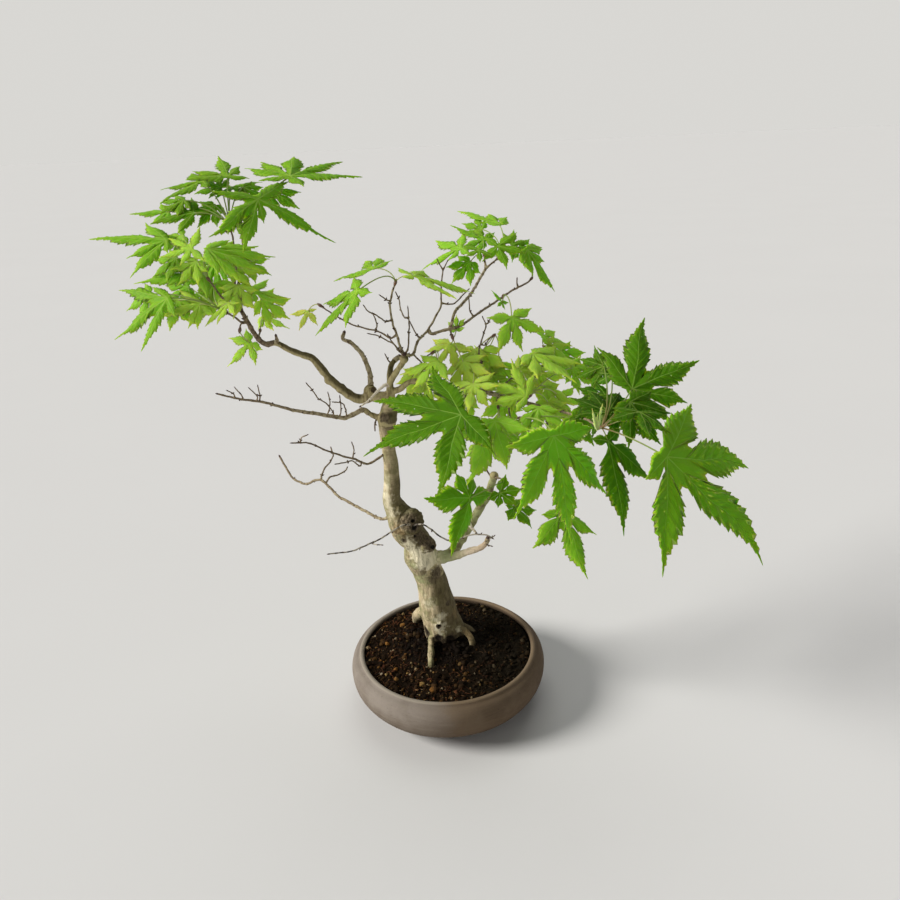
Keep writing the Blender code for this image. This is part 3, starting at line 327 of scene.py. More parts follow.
# Limbs and twigs: name, parent, picture points, first width, last width, last depth
limbTable = [
    ("leftLimb", "trunk", ((372, 397), (360, 399), (350, 395), (333, 382), (320, 367), (312, 358),
     (303, 355), (290, 350), (276, 343), (265, 344), (254, 333), (242, 312)), 12, 4.2, -14),
    ("crownForkLow", "leftLimb", ((243, 323), (233, 316), (223, 311)), 3.4, 2.2, -20),
    ("crownForkBare", "leftLimb", ((241, 300), (239, 286)), 3, 2, -10),
    ("crownForkLeft", "leftLimb", ((232, 304), (222, 297), (209, 280)), 3.2, 2.4, -18),
    ("crownRiser", "leftLimb", ((237, 300), (235, 285), (236, 265), (234, 245), (231, 230)), 3.2, 2.4, -2),
    ("crownTwig", "crownRiser", ((241, 252), (243, 241)), 2.2, 1.8, -8),
    ("crownSpur", "leftLimb", ((241, 324), (240, 329)), 2.4, 2, -12),
    ("crownKnot", "leftLimb", ((259, 337), (260, 331)), 4, 2, 0),
    ("leftKnot", "leftLimb", ((277, 340), (276, 336)), 5, 3.5, -14),
    ("cutStub", "leftLimb", ((371, 388), (370, 375), (367, 365), (361, 353), (351, 343), (343, 339),
     (344, 333)), 6, 3.4, 4),
    ("uprightStub", "trunk", ((390, 385), (390, 375), (391, 366), (395, 360), (399, 357)), 8, 5, 6),
    ("uprightSpike", "uprightStub", ((389, 361), (386, 356)), 2.4, 1.6, 6),
    ("hubLimb", "trunk", ((390, 383), (397, 371), (403, 362), (404, 355)), 7, 6, -12),
    ("deadPoint", "hubLimb", ((385, 385), (379, 390), (369, 400), (361, 406)), 3.9, 1.6, -18),
    ("mainTwig", "hubLimb", ((401, 349), (396, 333), (393, 325), (390, 306), (391, 298), (395, 284)), 3.8,
     2.4, 0),
    ("twigA", "mainTwig", ((387, 300), (381, 296)), 2, 1.6, -8),
    ("twigB", "mainTwig", ((385, 321), (376, 315), (368, 311), (364, 306)), 2.2, 1.6, -20),
    ("longTwig", "mainTwig", ((390, 338), (380, 332), (360, 327), (351, 324), (336, 316), (321, 306)), 2.6,
     1.8, 10),
    ("twigC", "longTwig", ((377, 324), (373, 314)), 2, 1.6, -6),
    ("twigD", "hubLimb", ((394, 344), (388, 341), (378, 336), (370, 334)), 2.4, 1.6, -20),
    ("twigE", "hubLimb", ((398, 350), (393, 343), (388, 335)), 2.4, 1.6, -24),
    ("twigF", "hubLimb", ((408, 348), (409, 330), (409, 320), (408, 309)), 2.6, 1.6, -2),
    ("twigG", "twigF", ((405, 318), (401, 310), (399, 300), (396, 293)), 2, 1.6, 20),
    ("risingTwig", "hubLimb", ((413, 354), (418, 341), (428, 330), (437, 314), (441, 305), (441, 290),
     (443, 270)), 4.2, 1.8, 27),
    ("twigH", "risingTwig", ((417, 335), (413, 328), (410, 322)), 2.2, 1.6, -2),
    ("forkLeft", "risingTwig", ((440, 265), (438, 261)), 1.8, 1.6, 28),
    ("forkRight", "risingTwig", ((445, 266), (447, 262)), 1.8, 1.6, 28),
    ("twigI", "risingTwig", ((453, 304), (462, 296), (468, 290)), 2.2, 1.6, 26),
    ("leafTwig", "risingTwig", ((417, 358), (424, 364), (426, 357), (432, 353)), 2.2, 1.8, -3),
    ("bridgeLimb", "risingTwig", ((432, 334), (441, 331), (450, 329)), 4, 4, 0),
    ("paleSpur", "bridgeLimb", ((451, 333), (452, 336)), 2.2, 1.8, -3),
    ("topLimb", "bridgeLimb", ((455, 312), (462, 304), (470, 295), (478, 282), (486, 268)), 4, 3.6, 60),
    ("topLeftTwig", "topLimb", ((485, 262), (484, 255)), 3, 2.4, 66),
    ("topRightTwig", "topLimb", ((491, 264), (497, 259)), 2.8, 2.2, 62),
    ("backLimb", "bridgeLimb", ((462, 325), (480, 312), (497, 301), (508, 293), (517, 288), (527, 283),
     (531, 279)), 3.6, 2.2, 62),
    ("backBud", "backLimb", ((517, 284), (517, 280)), 2.2, 1.8, 50),
    ("backSpike", "backLimb", ((470, 310), (469, 300)), 2, 1.6, 14),
    ("starSpur", "backLimb", ((501, 298), (503, 296)), 2.2, 1.8, 30),
    ("rightLimb", "trunk", ((400, 389), (410, 382), (432, 381), (461, 387), (490, 393), (515, 400),
     (535, 405)), 7, 4, -14),
    ("rightArm", "rightLimb", ((560, 411), (585, 419), (600, 427)), 3.8, 3, -66),
    ("rightSpikeA", "rightLimb", ((459, 380), (457, 370)), 2.2, 1.8, 4),
    ("rightSpikeB", "rightLimb", ((464, 381), (469, 372)), 2.2, 1.8, -2),
    ("frontSpur", "rightLimb", ((464, 392), (465, 396)), 2.4, 2, -12),
    ("darkTwig", "rightLimb", ((484, 374), (479, 353), (483, 336), (486, 326), (483, 318)), 2.6, 1.6, 14),
    ("darkForkA", "darkTwig", ((488, 323), (490, 319)), 1.8, 1.6, 14),
    ("darkForkB", "darkTwig", ((485, 345), (489, 339), (493, 336)), 1.8, 1.6, 12),
    ("hangingSpur", "rightLimb", ((497, 400), (498, 406)), 2.2, 1.8, -14),
    ("farTwig", "rightLimb", ((505, 384), (520, 374), (540, 367), (556, 359), (545, 348)), 2.4, 1.8, 30),
    ("limeSpur", "rightLimb", ((527, 400), (530, 396)), 2.6, 2.2, -18),
    ("redKnuckle", "rightLimb", ((509, 408), (511, 418), (519, 418)), 2.4, 2.2, -30),
    ("lowSpur", "rightArm", ((546, 416), (547, 424)), 2.2, 1.8, -34),
    ("lowerLimb", "trunk", ((437, 556), (447, 555), (455, 548), (462, 538), (470, 525), (480, 508),
     (488, 495), (491, 485), (494, 478)), 13, 7, 22),
    ("lowerTwig", "lowerLimb", ((489, 474), (486, 468), (484, 461)), 2.6, 2, 20),
    ("lowerSpur", "lowerLimb", ((499, 478), (503, 480)), 3, 2, 6),
    ("deadStub", "trunk", ((440, 560), (455, 556), (470, 551), (480, 548), (486, 543), (488, 538)), 11, 4.4,
     -10),
    ("deadTipA", "deadStub", ((491, 538), (494, 536)), 2.4, 1.6, -12),
    ("deadTipB", "deadStub", ((488, 545), (491, 546)), 2.4, 1.6, -12),
    ("bentTwig", "trunk", ((413, 526, -6), (417, 524.5, -10), (424, 525, -11.5), (431, 529.5, -11.5),
     (441, 537, -11.5), (452, 540.5, -12), (471, 535, -13), (486, 535, -14), (492, 538, -16)), 2.6, 1.8,
     -16),
    ("paleCut", "lowerLimb", ((468, 523), (476, 533)), 5, 2.4, 0),
    ("bareLimb", "trunk", ((380, 418), (370, 414), (363, 410), (350, 416), (342, 418), (318, 414),
     (297, 411), (285, 408), (262, 402), (240, 399), (218, 394)), 7, 1.8, -32),
    ("bareA", "bareLimb", ((333, 412), (327, 404), (319, 399), (313, 391), (307, 384)), 2, 1.5, -34),
    ("bareB", "bareLimb", ((330, 405), (328, 393)), 1.8, 1.5, -26),
    ("bareC", "bareLimb", ((345, 408), (342, 403), (333, 402)), 2, 1.5, -28),
    ("bareD", "bareLimb", ((341, 410), (340, 398)), 1.8, 1.5, -14),
    ("bareE", "bareLimb", ((257, 396), (250, 389)), 1.8, 1.5, -32),
    ("bareF", "bareLimb", ((260, 396), (258, 387)), 1.8, 1.5, -24),
    ("bareG", "bareLimb", ((234, 394), (228, 391)), 1.8, 1.5, -34),
    ("bareH", "bareLimb", ((242, 396), (236, 389)), 1.8, 1.5, -26),
    ("bareI", "bareLimb", ((375, 424), (375, 430)), 2.4, 1.8, -14),
    ("budLimb", "trunk", ((383, 455), (368, 464), (355, 459), (345, 457), (325, 450), (308, 443),
     (293, 443)), 3.6, 2, -32),
    ("budA", "budLimb", ((301, 438), (307, 435)), 1.8, 1.5, -34),
    ("budB", "budLimb", ((354, 450), (352, 443)), 1.8, 1.5, -20),
    ("budC", "budLimb", ((360, 466), (352, 461), (343, 463), (336, 464)), 2, 1.6, -34),
    ("farLimb", "trunk", ((383, 519), (365, 511), (345, 500), (338, 496), (321, 480), (307, 484),
     (300, 482), (292, 477), (280, 457)), 4.4, 2.6, 50),
    ("farA", "farLimb", ((322, 474), (325, 468), (330, 462), (333, 455), (331, 448)), 2.4, 1.8, 52),
    ("farB", "farLimb", ((330, 477), (338, 475), (345, 471), (347, 468)), 2.4, 1.8, 40),
    ("knobTwig", "trunk", ((413, 526, -6), (408, 524.5, -10.5), (398, 527.5, -13), (380, 539, -18),
     (362, 547, -25), (352, 551, -28), (329, 554, -34)), 2.6, 1.8, -34),
    ("knobFork", "knobTwig", ((374, 544), (382, 545)), 1.8, 1.5, -28),
]
firstWidth = {row[0]: row[3] for row in limbTable}
bareTwigs = {"deadPoint", "paleCut"}
deadTwigs = {"deadTipA", "deadTipB", "bentTwig", "knobTwig", "knobFork"}
# Surface roots: points, first radius, last radius
rootTable = [
    (((-6, 8, 45), (-9.9, 2, 40.5), (-10.3, -5.4, 39), (-10.4, -12.9, 37), (-10.4, -18.6, 34.5),
     (-10.4, -22, 24)), 2.2, 1.6),
    (((-0.3, 6, 47), (4.1, 1.5, 45.5), (9.2, 3.2, 44), (13.6, 1.7, 41), (15.9, -1.1, 37.5),
     (17.1, -1.4, 24)), 2.6, 1.7),
    (((6, 14, 40), (13, 14, 36), (19, 11, 30), (21, 9, 22)), 3.4, 2.4),
    (((0, 18, 42), (-2, 27, 38), (-3, 34, 31), (-3, 37, 22)), 5, 3),
    (((-7, 16, 51), (-12, 21, 47.5), (-16.5, 25, 43), (-19.2, 28, 39.2), (-20.4, 30, 35), (-21, 31.5, 26)),
     5.2, 2.6),
]
# Burls: place (across, down, depth), radius
burlTable = [
    ((411, 521, -3), 7.2), ((400, 530, -1), 4.6), ((426, 545, 0), 6), ((387, 419, -8), 5.6),
    ((404, 359, -12), 2.6), ((439, 625, 2), 3.2), ((494, 476, 21), 3), ((370, 391, -7), 3.7),
    ((341, 388.5, -9), 2.95), ((329, 380, -9.5), 2.7),
]
wood = {"depthLow": 12.0, "depthHigh": -8.0, "plug": (2.0, 12.0, 14.0), "plugRadius": 13.0, "voxel": 0.55,
        "step": 1.6, "limbRun": 6.0, "taper": 0.8, "thickFrom": 1.45, "thickFirst": 4, "knots": 0.22,
        "trunkSides": 20, "limbSides": 12, "burlSides": 14, "rootRoom": 1.02, "rootGirth": 9.0,
        "burlRings": (-0.98, -0.8, -0.4, 0, 0.4, 0.8, 0.98), "lumps": 0.55, "ridges": 0.30, "grit": 0.10,
        "fullLift": 8.0, "hugRoom": 1.3, "hugFade": 1.8, "mostGirth": 12.0,
        "peeledLimb": "deadStub", "mossyLimb": "lowerLimb",
        "shadedLimbs": ("leftLimb", "cutStub", "hubLimb", "uprightStub")}
# Painted shade, darker on the side turned from the light: ways it faces, what is added all over, and share,
# start and run of what is added with height
shade = {"way": (0.85, -0.25, -0.20), "base": 0.18, "rises": ((0.24, 82.0, 26.0), (0.24, 158.0, 12.0)),
         "foot": 0.45, "footTop": 60.0, "footRun": 18.0, "footAside": 7.0, "thinFrom": 2.5, "thinRun": 4.0,
         "limbWay": (0.60, 0.15, 0.70), "limbBase": 0.42}
# Shares of a scar's radius: how far it is felt, how ragged it is, the lip's width, the hollow and the dark
# (scar colour and painted shade)
scar = {"felt": 3, "ragged": 0.35, "lip": 0.38, "hollow": 0.62, "dark": 1.05, "ridgePitch": 3.4}
# Healed cuts and hollows on the trunk, with painted shade: across, down, radius, how sunk, how proud the lip
# is, how dark, ridges. Near black is painted shade in the deep hollows and knot holes; rows with no lip and
# nothing sunk paint shadow on the burl's lower right and under the lower limbs
scarAndShadeTable = [
    (411, 521, 7.4, 0.6, 1.3, 0.44, 0.45), (413, 524, 5.0, 0.0, 0.0, 0.55, 0.0),
    (413, 521, 1.7, 2.8, 0.5, 1.0, 0.0), (414, 527.5, 2.0, 1.8, 0.2, 1.0, 0.0),
    (418, 534, 4.2, 0.0, 0.3, 0.6, 0.2), (424, 540, 4.2, 0.4, 0.5, 0.62, 0.2),
    (430, 545, 3.6, 0.7, 0.4, 0.8, 0.0), (433, 547, 2.0, 0.9, 0.2, 1.0, 0.0),
    (415, 536, 1.1, 1.3, 0.3, 1.0, 0.0), (405, 551, 1.6, 0.5, 0.3, 0.28, 0.0),
    (409, 557, 1.5, 0.4, 0.3, 0.28, 0.0), (437, 572, 5.0, 0.0, 0.0, 0.5, 0.0),
    (433, 579, 4.4, 0.0, 0.0, 0.38, 0.0), (439, 625, 1.7, 2.4, 1.7, 1.0, 0.0),
    (460, 642, 4.4, 3.6, 0.0, 1.0, 0.0), (384, 418, 3.0, -0.5, 0.5, 0.5, 0.2),
    (448, 603, 2.0, 0.7, 0.3, 0.5, 0.0), (374, 390, 1.8, 0.7, 0.5, 0.7, 0.0),
    (404, 541, 2.2, 0.9, 0.0, 0.5, 0.0), (451, 641, 4.8, 3.0, 0.0, 1.0, 0.0),
    (426, 632, 4.4, 1.0, 0.0, 0.9, 0.0), (440, 645, 4.2, 1.5, 0.0, 1.0, 0.0),
    (438.5, 638.5, 3.0, 0.9, 0.0, 1.0, 0.0), (409, 549, 1.3, 0.4, 0.2, 0.26, 0.0),
]
# Coloured spots on the trunk: across, down, radius, strength
paleSpots = [
    (439, 627, 5.0, 0.9), (428, 604, 6.5, 0.5), (424, 616, 4.5, 0.36), (391, 514, 4.6, 0.65),
    (430, 559, 6.6, 1.25), (418, 556, 5.0, 1.1), (420, 566, 3.6, 0.7), (415, 612, 3.4, 0.3),
    (387, 478, 3.6, 0.42), (386, 497, 5.0, 0.75), (386, 487, 4.2, 0.6), (388, 506, 4.5, 0.6),
    (437, 620, 3.0, 0.6), (444, 624, 2.2, 0.6), (441, 634, 2.4, 0.7), (441, 617, 4.2, 0.62),
    # painted light: the first spot here lightens the right root where the trunk shades it
    (459, 630.5, 3.2, 0.55), (408, 543, 4.4, 0.85), (412, 550, 4.4, 0.85),
]
mossSpots = [
    (444, 557, 5.5, 1.2), (405, 551, 5.0, 0.7), (418, 578, 6.5, 0.7), (414, 566, 4.5, 0.6),
    (421, 591, 4.5, 0.5), (431, 650, 4.0, 0.5), (432, 660, 4.0, 0.5),
]
ochreSpots = [
    (399, 531, 4.4, 1.2), (468, 635, 4.2, 1.1), (455, 612, 5.0, 0.6), (447, 618, 4.0, 0.5),
]


def trunkLine():
    points, radii = [Vector(wood["plug"])], [wood["plugRadius"]]
    for index, (across, down, width) in enumerate(trunkPoints):
        share = index / (len(trunkPoints) - 1)
        point = spot(across, down, wood["depthLow"] + (wood["depthHigh"] - wood["depthLow"]) * share)
        points.append(point)
        radii.append(realWidth(width, point) / 2.0)
    return points, radii


def nearestOn(line, point, steps=8):
    aim, best = (point - eye["at"]).normalized(), None
    for start, end in zip(line[:-1], line[1:]):
        for part in range(steps + 1):
            place = start.lerp(end, part / steps)
            miss = (place - eye["at"]).normalized().cross(aim).length
            if best is None or miss < best[0]:
                best = (miss, place)
    return best[1]


def limbLines():
    lines = {"trunk": trunkLine()}
    for name, parent, places, first, last, lastDepth in limbTable:
        root = nearestOn(lines[parent][0], spot(*places[0][:2], 0.0))
        points, travelled = [root], [0.0]
        for before, after in zip(places[:-1], places[1:]):
            travelled.append(travelled[-1] + math.dist(before[:2], after[:2]))
        run = wood["limbRun"]
        for (across, down, *given), distance in zip(places, travelled):
            slid = root.y + (lastDepth - root.y) * (distance + run) / (travelled[-1] + run)
            points.append(spot(across, down, given[0] if given else slid))
        radii = []
        for index, point in enumerate(points):
            width = first + (last - first) * (index / (len(points) - 1)) ** wood["taper"]
            radii.append(realWidth(width, point) / 2.0)
        lines[name] = (points, radii)
    return lines


limbs = limbLines()


def voxelSkin(batch):  # one closed skin round many overlapping closed tubes
    raw = makePiece("trunkRaw", np.concatenate(batch.points), batch.faces, [])
    remesh = raw.modifiers.new("Skin", "REMESH")
    remesh.mode = "VOXEL"
    remesh.voxel_size = wood["voxel"] * mm
    smooth = raw.modifiers.new("Smooth", "SMOOTH")
    smooth.factor, smooth.iterations = 0.5, 4
    mesh = applied(raw)
    bpy.data.objects.remove(raw)
    return mesh


def meshArrays(mesh):
    points = np.empty(len(mesh.vertices) * 3)
    normals = np.empty(len(mesh.vertices) * 3)
    mesh.vertices.foreach_get("co", points)
    mesh.vertices.foreach_get("normal", normals)
    return points.reshape(-1, 3) * perMetre, normals.reshape(-1, 3)


def nearSpot(tree, points, across, down, radius):  # the points round where the sight line first meets wood
    hit = tree.ray_cast(eye["at"] * mm, sight(across, down).normalized())[0]
    if hit is None:
        return np.zeros(len(points), bool), np.zeros(0)
    away = np.linalg.norm(points - np.array(hit * perMetre), axis=1)
    return away < radius, away[away < radius]


def alongLimb(name, points):  # how closely the skin's points hug one limb, and how far along it they lie
    line, widths = smoothLine(*limbs[name], wood["step"])
    tree = pointTree(line)
    found = [tree.find(point) for point in points]
    index = np.array([row[1] for row in found])
    away = np.array([row[2] for row in found])
    share = index / (len(line) - 1.0)
    close = np.clip((widths[index] * wood["hugRoom"] + wood["hugFade"] - away) / wood["hugFade"], 0.0, 1.0)
    return close * np.clip(share * 9.0 - 0.9, 0.0, 1.0), share


def spotLayer(tree, points, rows):  # ragged spots of colour on the near side
    layer = np.zeros(len(points))
    for across, down, radius, share in rows:
        near, away = nearSpot(tree, points, across, down, radius * 2.5)
        wobble = np.array([noise.noise((x * 0.4 + across, y * 0.4, z * 0.4))
                           + 0.6 * noise.noise((x * 1.1, y * 1.1, z * 0.8 + down))
                           for x, y, z in points[near]])
        ragged = np.clip(1.0 + 0.8 * wobble, 0.7, 1.8)
        layer[near] = np.maximum(layer[near], share * np.exp(-(away * ragged / radius) ** 2))
    return layer


def lastThick(name, widths):  # where the trunk's skin stops on a limb; 0 for one that is thin all along
    thick = np.nonzero(widths >= wood["thickFrom"])[0]
    return int(thick.max()) if firstWidth[name] >= wood["thickFirst"] and len(thick) >= 3 else 0


def trunkTubes():  # the tubes that the skin closes over, and the guide to their girth
    batch, guide = Batch(), []
    for name, (points, radii) in limbs.items():
        line, widths = smoothLine(points, radii, wood["step"])
        count, sides = len(line), wood["trunkSides"]
        if name != "trunk":
            end = lastThick(name, widths)
            if not end:
                continue
            knots = np.array([noise.noise((index * 0.5, len(name), 0.0)) for index in range(count)])
            widths = widths * (1.0 + wood["knots"] * knots)
            count, sides = min(count, end + 2), wood["limbSides"]
        batch.add(*sweepTube(line[:count], widths[:count], sides))
        guide += zip(line[:count], widths[:count])
    for points, first, last in rootTable:
        line, widths = smoothLine(points, np.linspace(first, last, len(points)), wood["step"])
        batch.add(*sweepTube(line, widths * wood["rootRoom"], wood["limbSides"]))
        guide += [(point, wood["rootGirth"]) for point in line]
    for place, radius in burlTable:
        line = [spot(*place) + Vector((0, 0, along * radius)) for along in wood["burlRings"]]
        radii = [radius * math.sqrt(1.0 - along * along) for along in wood["burlRings"]]
        batch.add(*sweepTube(line, radii, wood["burlSides"]))
    return batch, guide


# dark gets both scar colour and painted shade
def addScars(tree, points, lift, dark):
    for across, down, radius, sunk, lip, depth, ridges in scarAndShadeTable:
        near, away = nearSpot(tree, points, across, down, radius * scar["felt"])
        wobble = [noise.noise((x * 0.5, y * 0.5, z * 0.5 + across)) for x, y, z in points[near]]
        away = away * (1.0 + scar["ragged"] * np.array(wobble))
        lift[near] += lip * np.exp(-((away - radius) / (radius * scar["lip"])) ** 2)
        lift[near] -= sunk * np.exp(-(away / (radius * scar["hollow"])) ** 2)
        lift[near] += ridges * np.sin(away * scar["ridgePitch"]) * np.exp(-(away / radius) ** 4)
        dark[near] = np.maximum(dark[near], depth * np.exp(-(away / (radius * scar["dark"])) ** 4))


# painted shade: how far each point of the skin is darkened as if turned from the light
def paintedShadeSide(points, normals, girth, onLimb):
    height = points[:, 2]
    side = normals @ np.array(shade["way"]) + shade["base"]
    for share, start, run in shade["rises"]:
        side = side + share * smoothRise((height - start) / run)
    low = np.clip((shade["footTop"] - height) / shade["footRun"], 0.0, 1.0)
    side += shade["foot"] * low * np.clip(points[:, 0] / shade["footAside"], 0.0, 1.0)
    side = np.clip(side, 0.0, 1.0) * smoothRise((girth - shade["thinFrom"]) / shade["thinRun"])
    facing = np.clip(normals @ np.array(shade["limbWay"]) + shade["limbBase"], 0.0, 1.0)
    return side + (facing - side) * onLimb


def makeTrunk(finish):
    batch, guide = trunkTubes()
    mesh = voxelSkin(batch)
    points, normals = meshArrays(mesh)
    faces = [list(face.vertices) for face in mesh.polygons]
    nearest = pointTree([row[0] for row in guide])
    girth = np.array([guide[nearest.find(point)[1]][1] for point in points])
    lift = np.empty(len(points))
    for index, (x, y, z) in enumerate(points):
        lift[index] = (wood["lumps"] * noise.noise((x * 0.13, y * 0.13, z * 0.075))
                       + wood["ridges"] * noise.noise((x * 0.55 + 9.0, y * 0.55, z * 0.12))
                       + wood["grit"] * noise.noise((x * 1.7, y * 1.7 + 5.0, z * 0.9)))
    lift *= np.minimum(1.0, girth / wood["fullLift"])
    dark = np.zeros(len(points))
    tree = BVHTree.FromPolygons([vertex.co for vertex in mesh.vertices], faces)
    addScars(tree, points, lift, dark)
    pale, moss, ochre = (spotLayer(tree, points, rows) for rows in (paleSpots, mossSpots, ochreSpots))
    moss = np.maximum(moss, alongLimb(wood["mossyLimb"], points)[0])
    peeled, peeledAlong = alongLimb(wood["peeledLimb"], points)
    onLimb = np.max([alongLimb(name, points)[0] for name in wood["shadedLimbs"]], axis=0)
    points = points + normals * lift[:, None]
    # the side layer carries the painted shade
    side = paintedShadeSide(points, normals, girth, onLimb)
    layers = {"girth": np.minimum(girth, wood["mostGirth"]), "wound": dark, "side": side, "pale": pale,
              "moss": moss, "ochre": ochre, "peeled": peeled, "peeledAlong": peeledAlong}
    piece = makePiece("trunkAndLimbs", points, faces, [finish], layers)
    settle(piece, "bark", "tree_wood")
    print("bonsai: trunk skin of", len(faces), "faces")


twigs = {"seed": 11, "sides": 9, "step": 0.9, "slim": 0.74, "crook": 0.28, "crookFade": 4.0, "overlap": 3,
         "firstKnot": (2.0, 5.0), "knotGap": (3.5, 7.5), "knotEnd": 1.5, "knotSwell": 0.24, "knotLength": 0.5,
         "footSwell": 0.5, "footLength": 1.2, "oldFrom": 1.6, "tipBud": (1.3, 2.1), "tipBudRoom": 1.05,
         "sideBud": (0.8, 1.5), "sideBudRadius": (0.32, 0.5), "pairs": 0.6, "budAge": 0.2,
         "ageing": {"leftLimb": 0.32, "mainTwig": 1.8, "risingTwig": 1.4, "topLimb": 1.4}}


def addBuds(batch, line, widths, travelled, knots, draw):
    for knot in knots:
        index = int(np.searchsorted(travelled, knot))
        ahead = line[min(index + 1, len(line) - 1)] - line[index - 1]
        ahead /= np.linalg.norm(ahead)
        aside = np.cross(ahead, [draw.uniform(-1, 1) for _ in range(3)])
        aside /= np.linalg.norm(aside)
        for turn in (1.0, -1.0) if draw.random() < twigs["pairs"] else (1.0,):
            at = line[index] + aside * turn * widths[index] * 0.7
            length, radius = draw.uniform(*twigs["sideBud"]), draw.uniform(*twigs["sideBudRadius"])
            bud = budShape(at, ahead * 0.8 + aside * turn, length, radius, 6)
            batch.add(*bud, age=twigs["budAge"], bud=1.0)


def makeTwigs(finish):
    draw, batch = random.Random(twigs["seed"]), Batch()
    for name, first in firstWidth.items():
        line, widths = smoothLine(*limbs[name], twigs["step"])
        start = max(0, lastThick(name, widths) - twigs["overlap"])
        if len(line) - start < 3:
            continue
        line, widths = line[start:], widths[start:].copy()
        crook = [[noise.noise((x * 0.35 + shift, y * 0.35, z * 0.35)) for shift in (0, 17, 31)]
                 for x, y, z in line]
        steps = np.arange(len(line))
        fade = np.minimum(1.0, np.minimum(steps, steps[::-1]) / twigs["crookFade"])
        line = line + np.array(crook) * twigs["crook"] * fade[:, None]
        travelled = np.concatenate([[0.0], np.cumsum(np.linalg.norm(np.diff(line, axis=0), axis=1))])
        knots, along = [], draw.uniform(*twigs["firstKnot"])
        while along < travelled[-1] - twigs["knotEnd"]:
            knots.append(along)
            along += draw.uniform(*twigs["knotGap"])
        for knot in knots:
            widths *= 1.0 + twigs["knotSwell"] * np.exp(-((travelled - knot) / twigs["knotLength"]) ** 2)
        if start == 0:
            widths *= 1.0 if name in bareTwigs else twigs["slim"]
            beyond = np.maximum(0.0, travelled - widths[0] * 1.2) / twigs["footLength"]
            widths *= 1.0 + twigs["footSwell"] * np.exp(-beyond ** 2)
        age = np.clip(widths / twigs["oldFrom"], 0.0, 1.0) * twigs["ageing"].get(name, 1.0)
        dead = float(name in deadTwigs)
        batch.add(*sweepTube(line, widths, twigs["sides"]), age=np.repeat(age, twigs["sides"]), bud=0.0,
                  dead=dead, bare=float(name in bareTwigs))
        if name not in sprayTwigs:
            length, radius = draw.uniform(*twigs["tipBud"]), widths[-1] * twigs["tipBudRoom"]
            bud = budShape(line[-1], line[-1] - line[-2], length, radius)
            batch.add(*bud, age=twigs["budAge"], bud=1.0, dead=dead)
        addBuds(batch, line, widths, travelled, knots[::2 if first < wood["thickFirst"] else 3], draw)
    piece = batch.piece("twigsAndBuds", [finish])
    settle(piece, "bark", "tree_wood")
    print("bonsai: twigs of", len(piece.data.polygons), "faces")


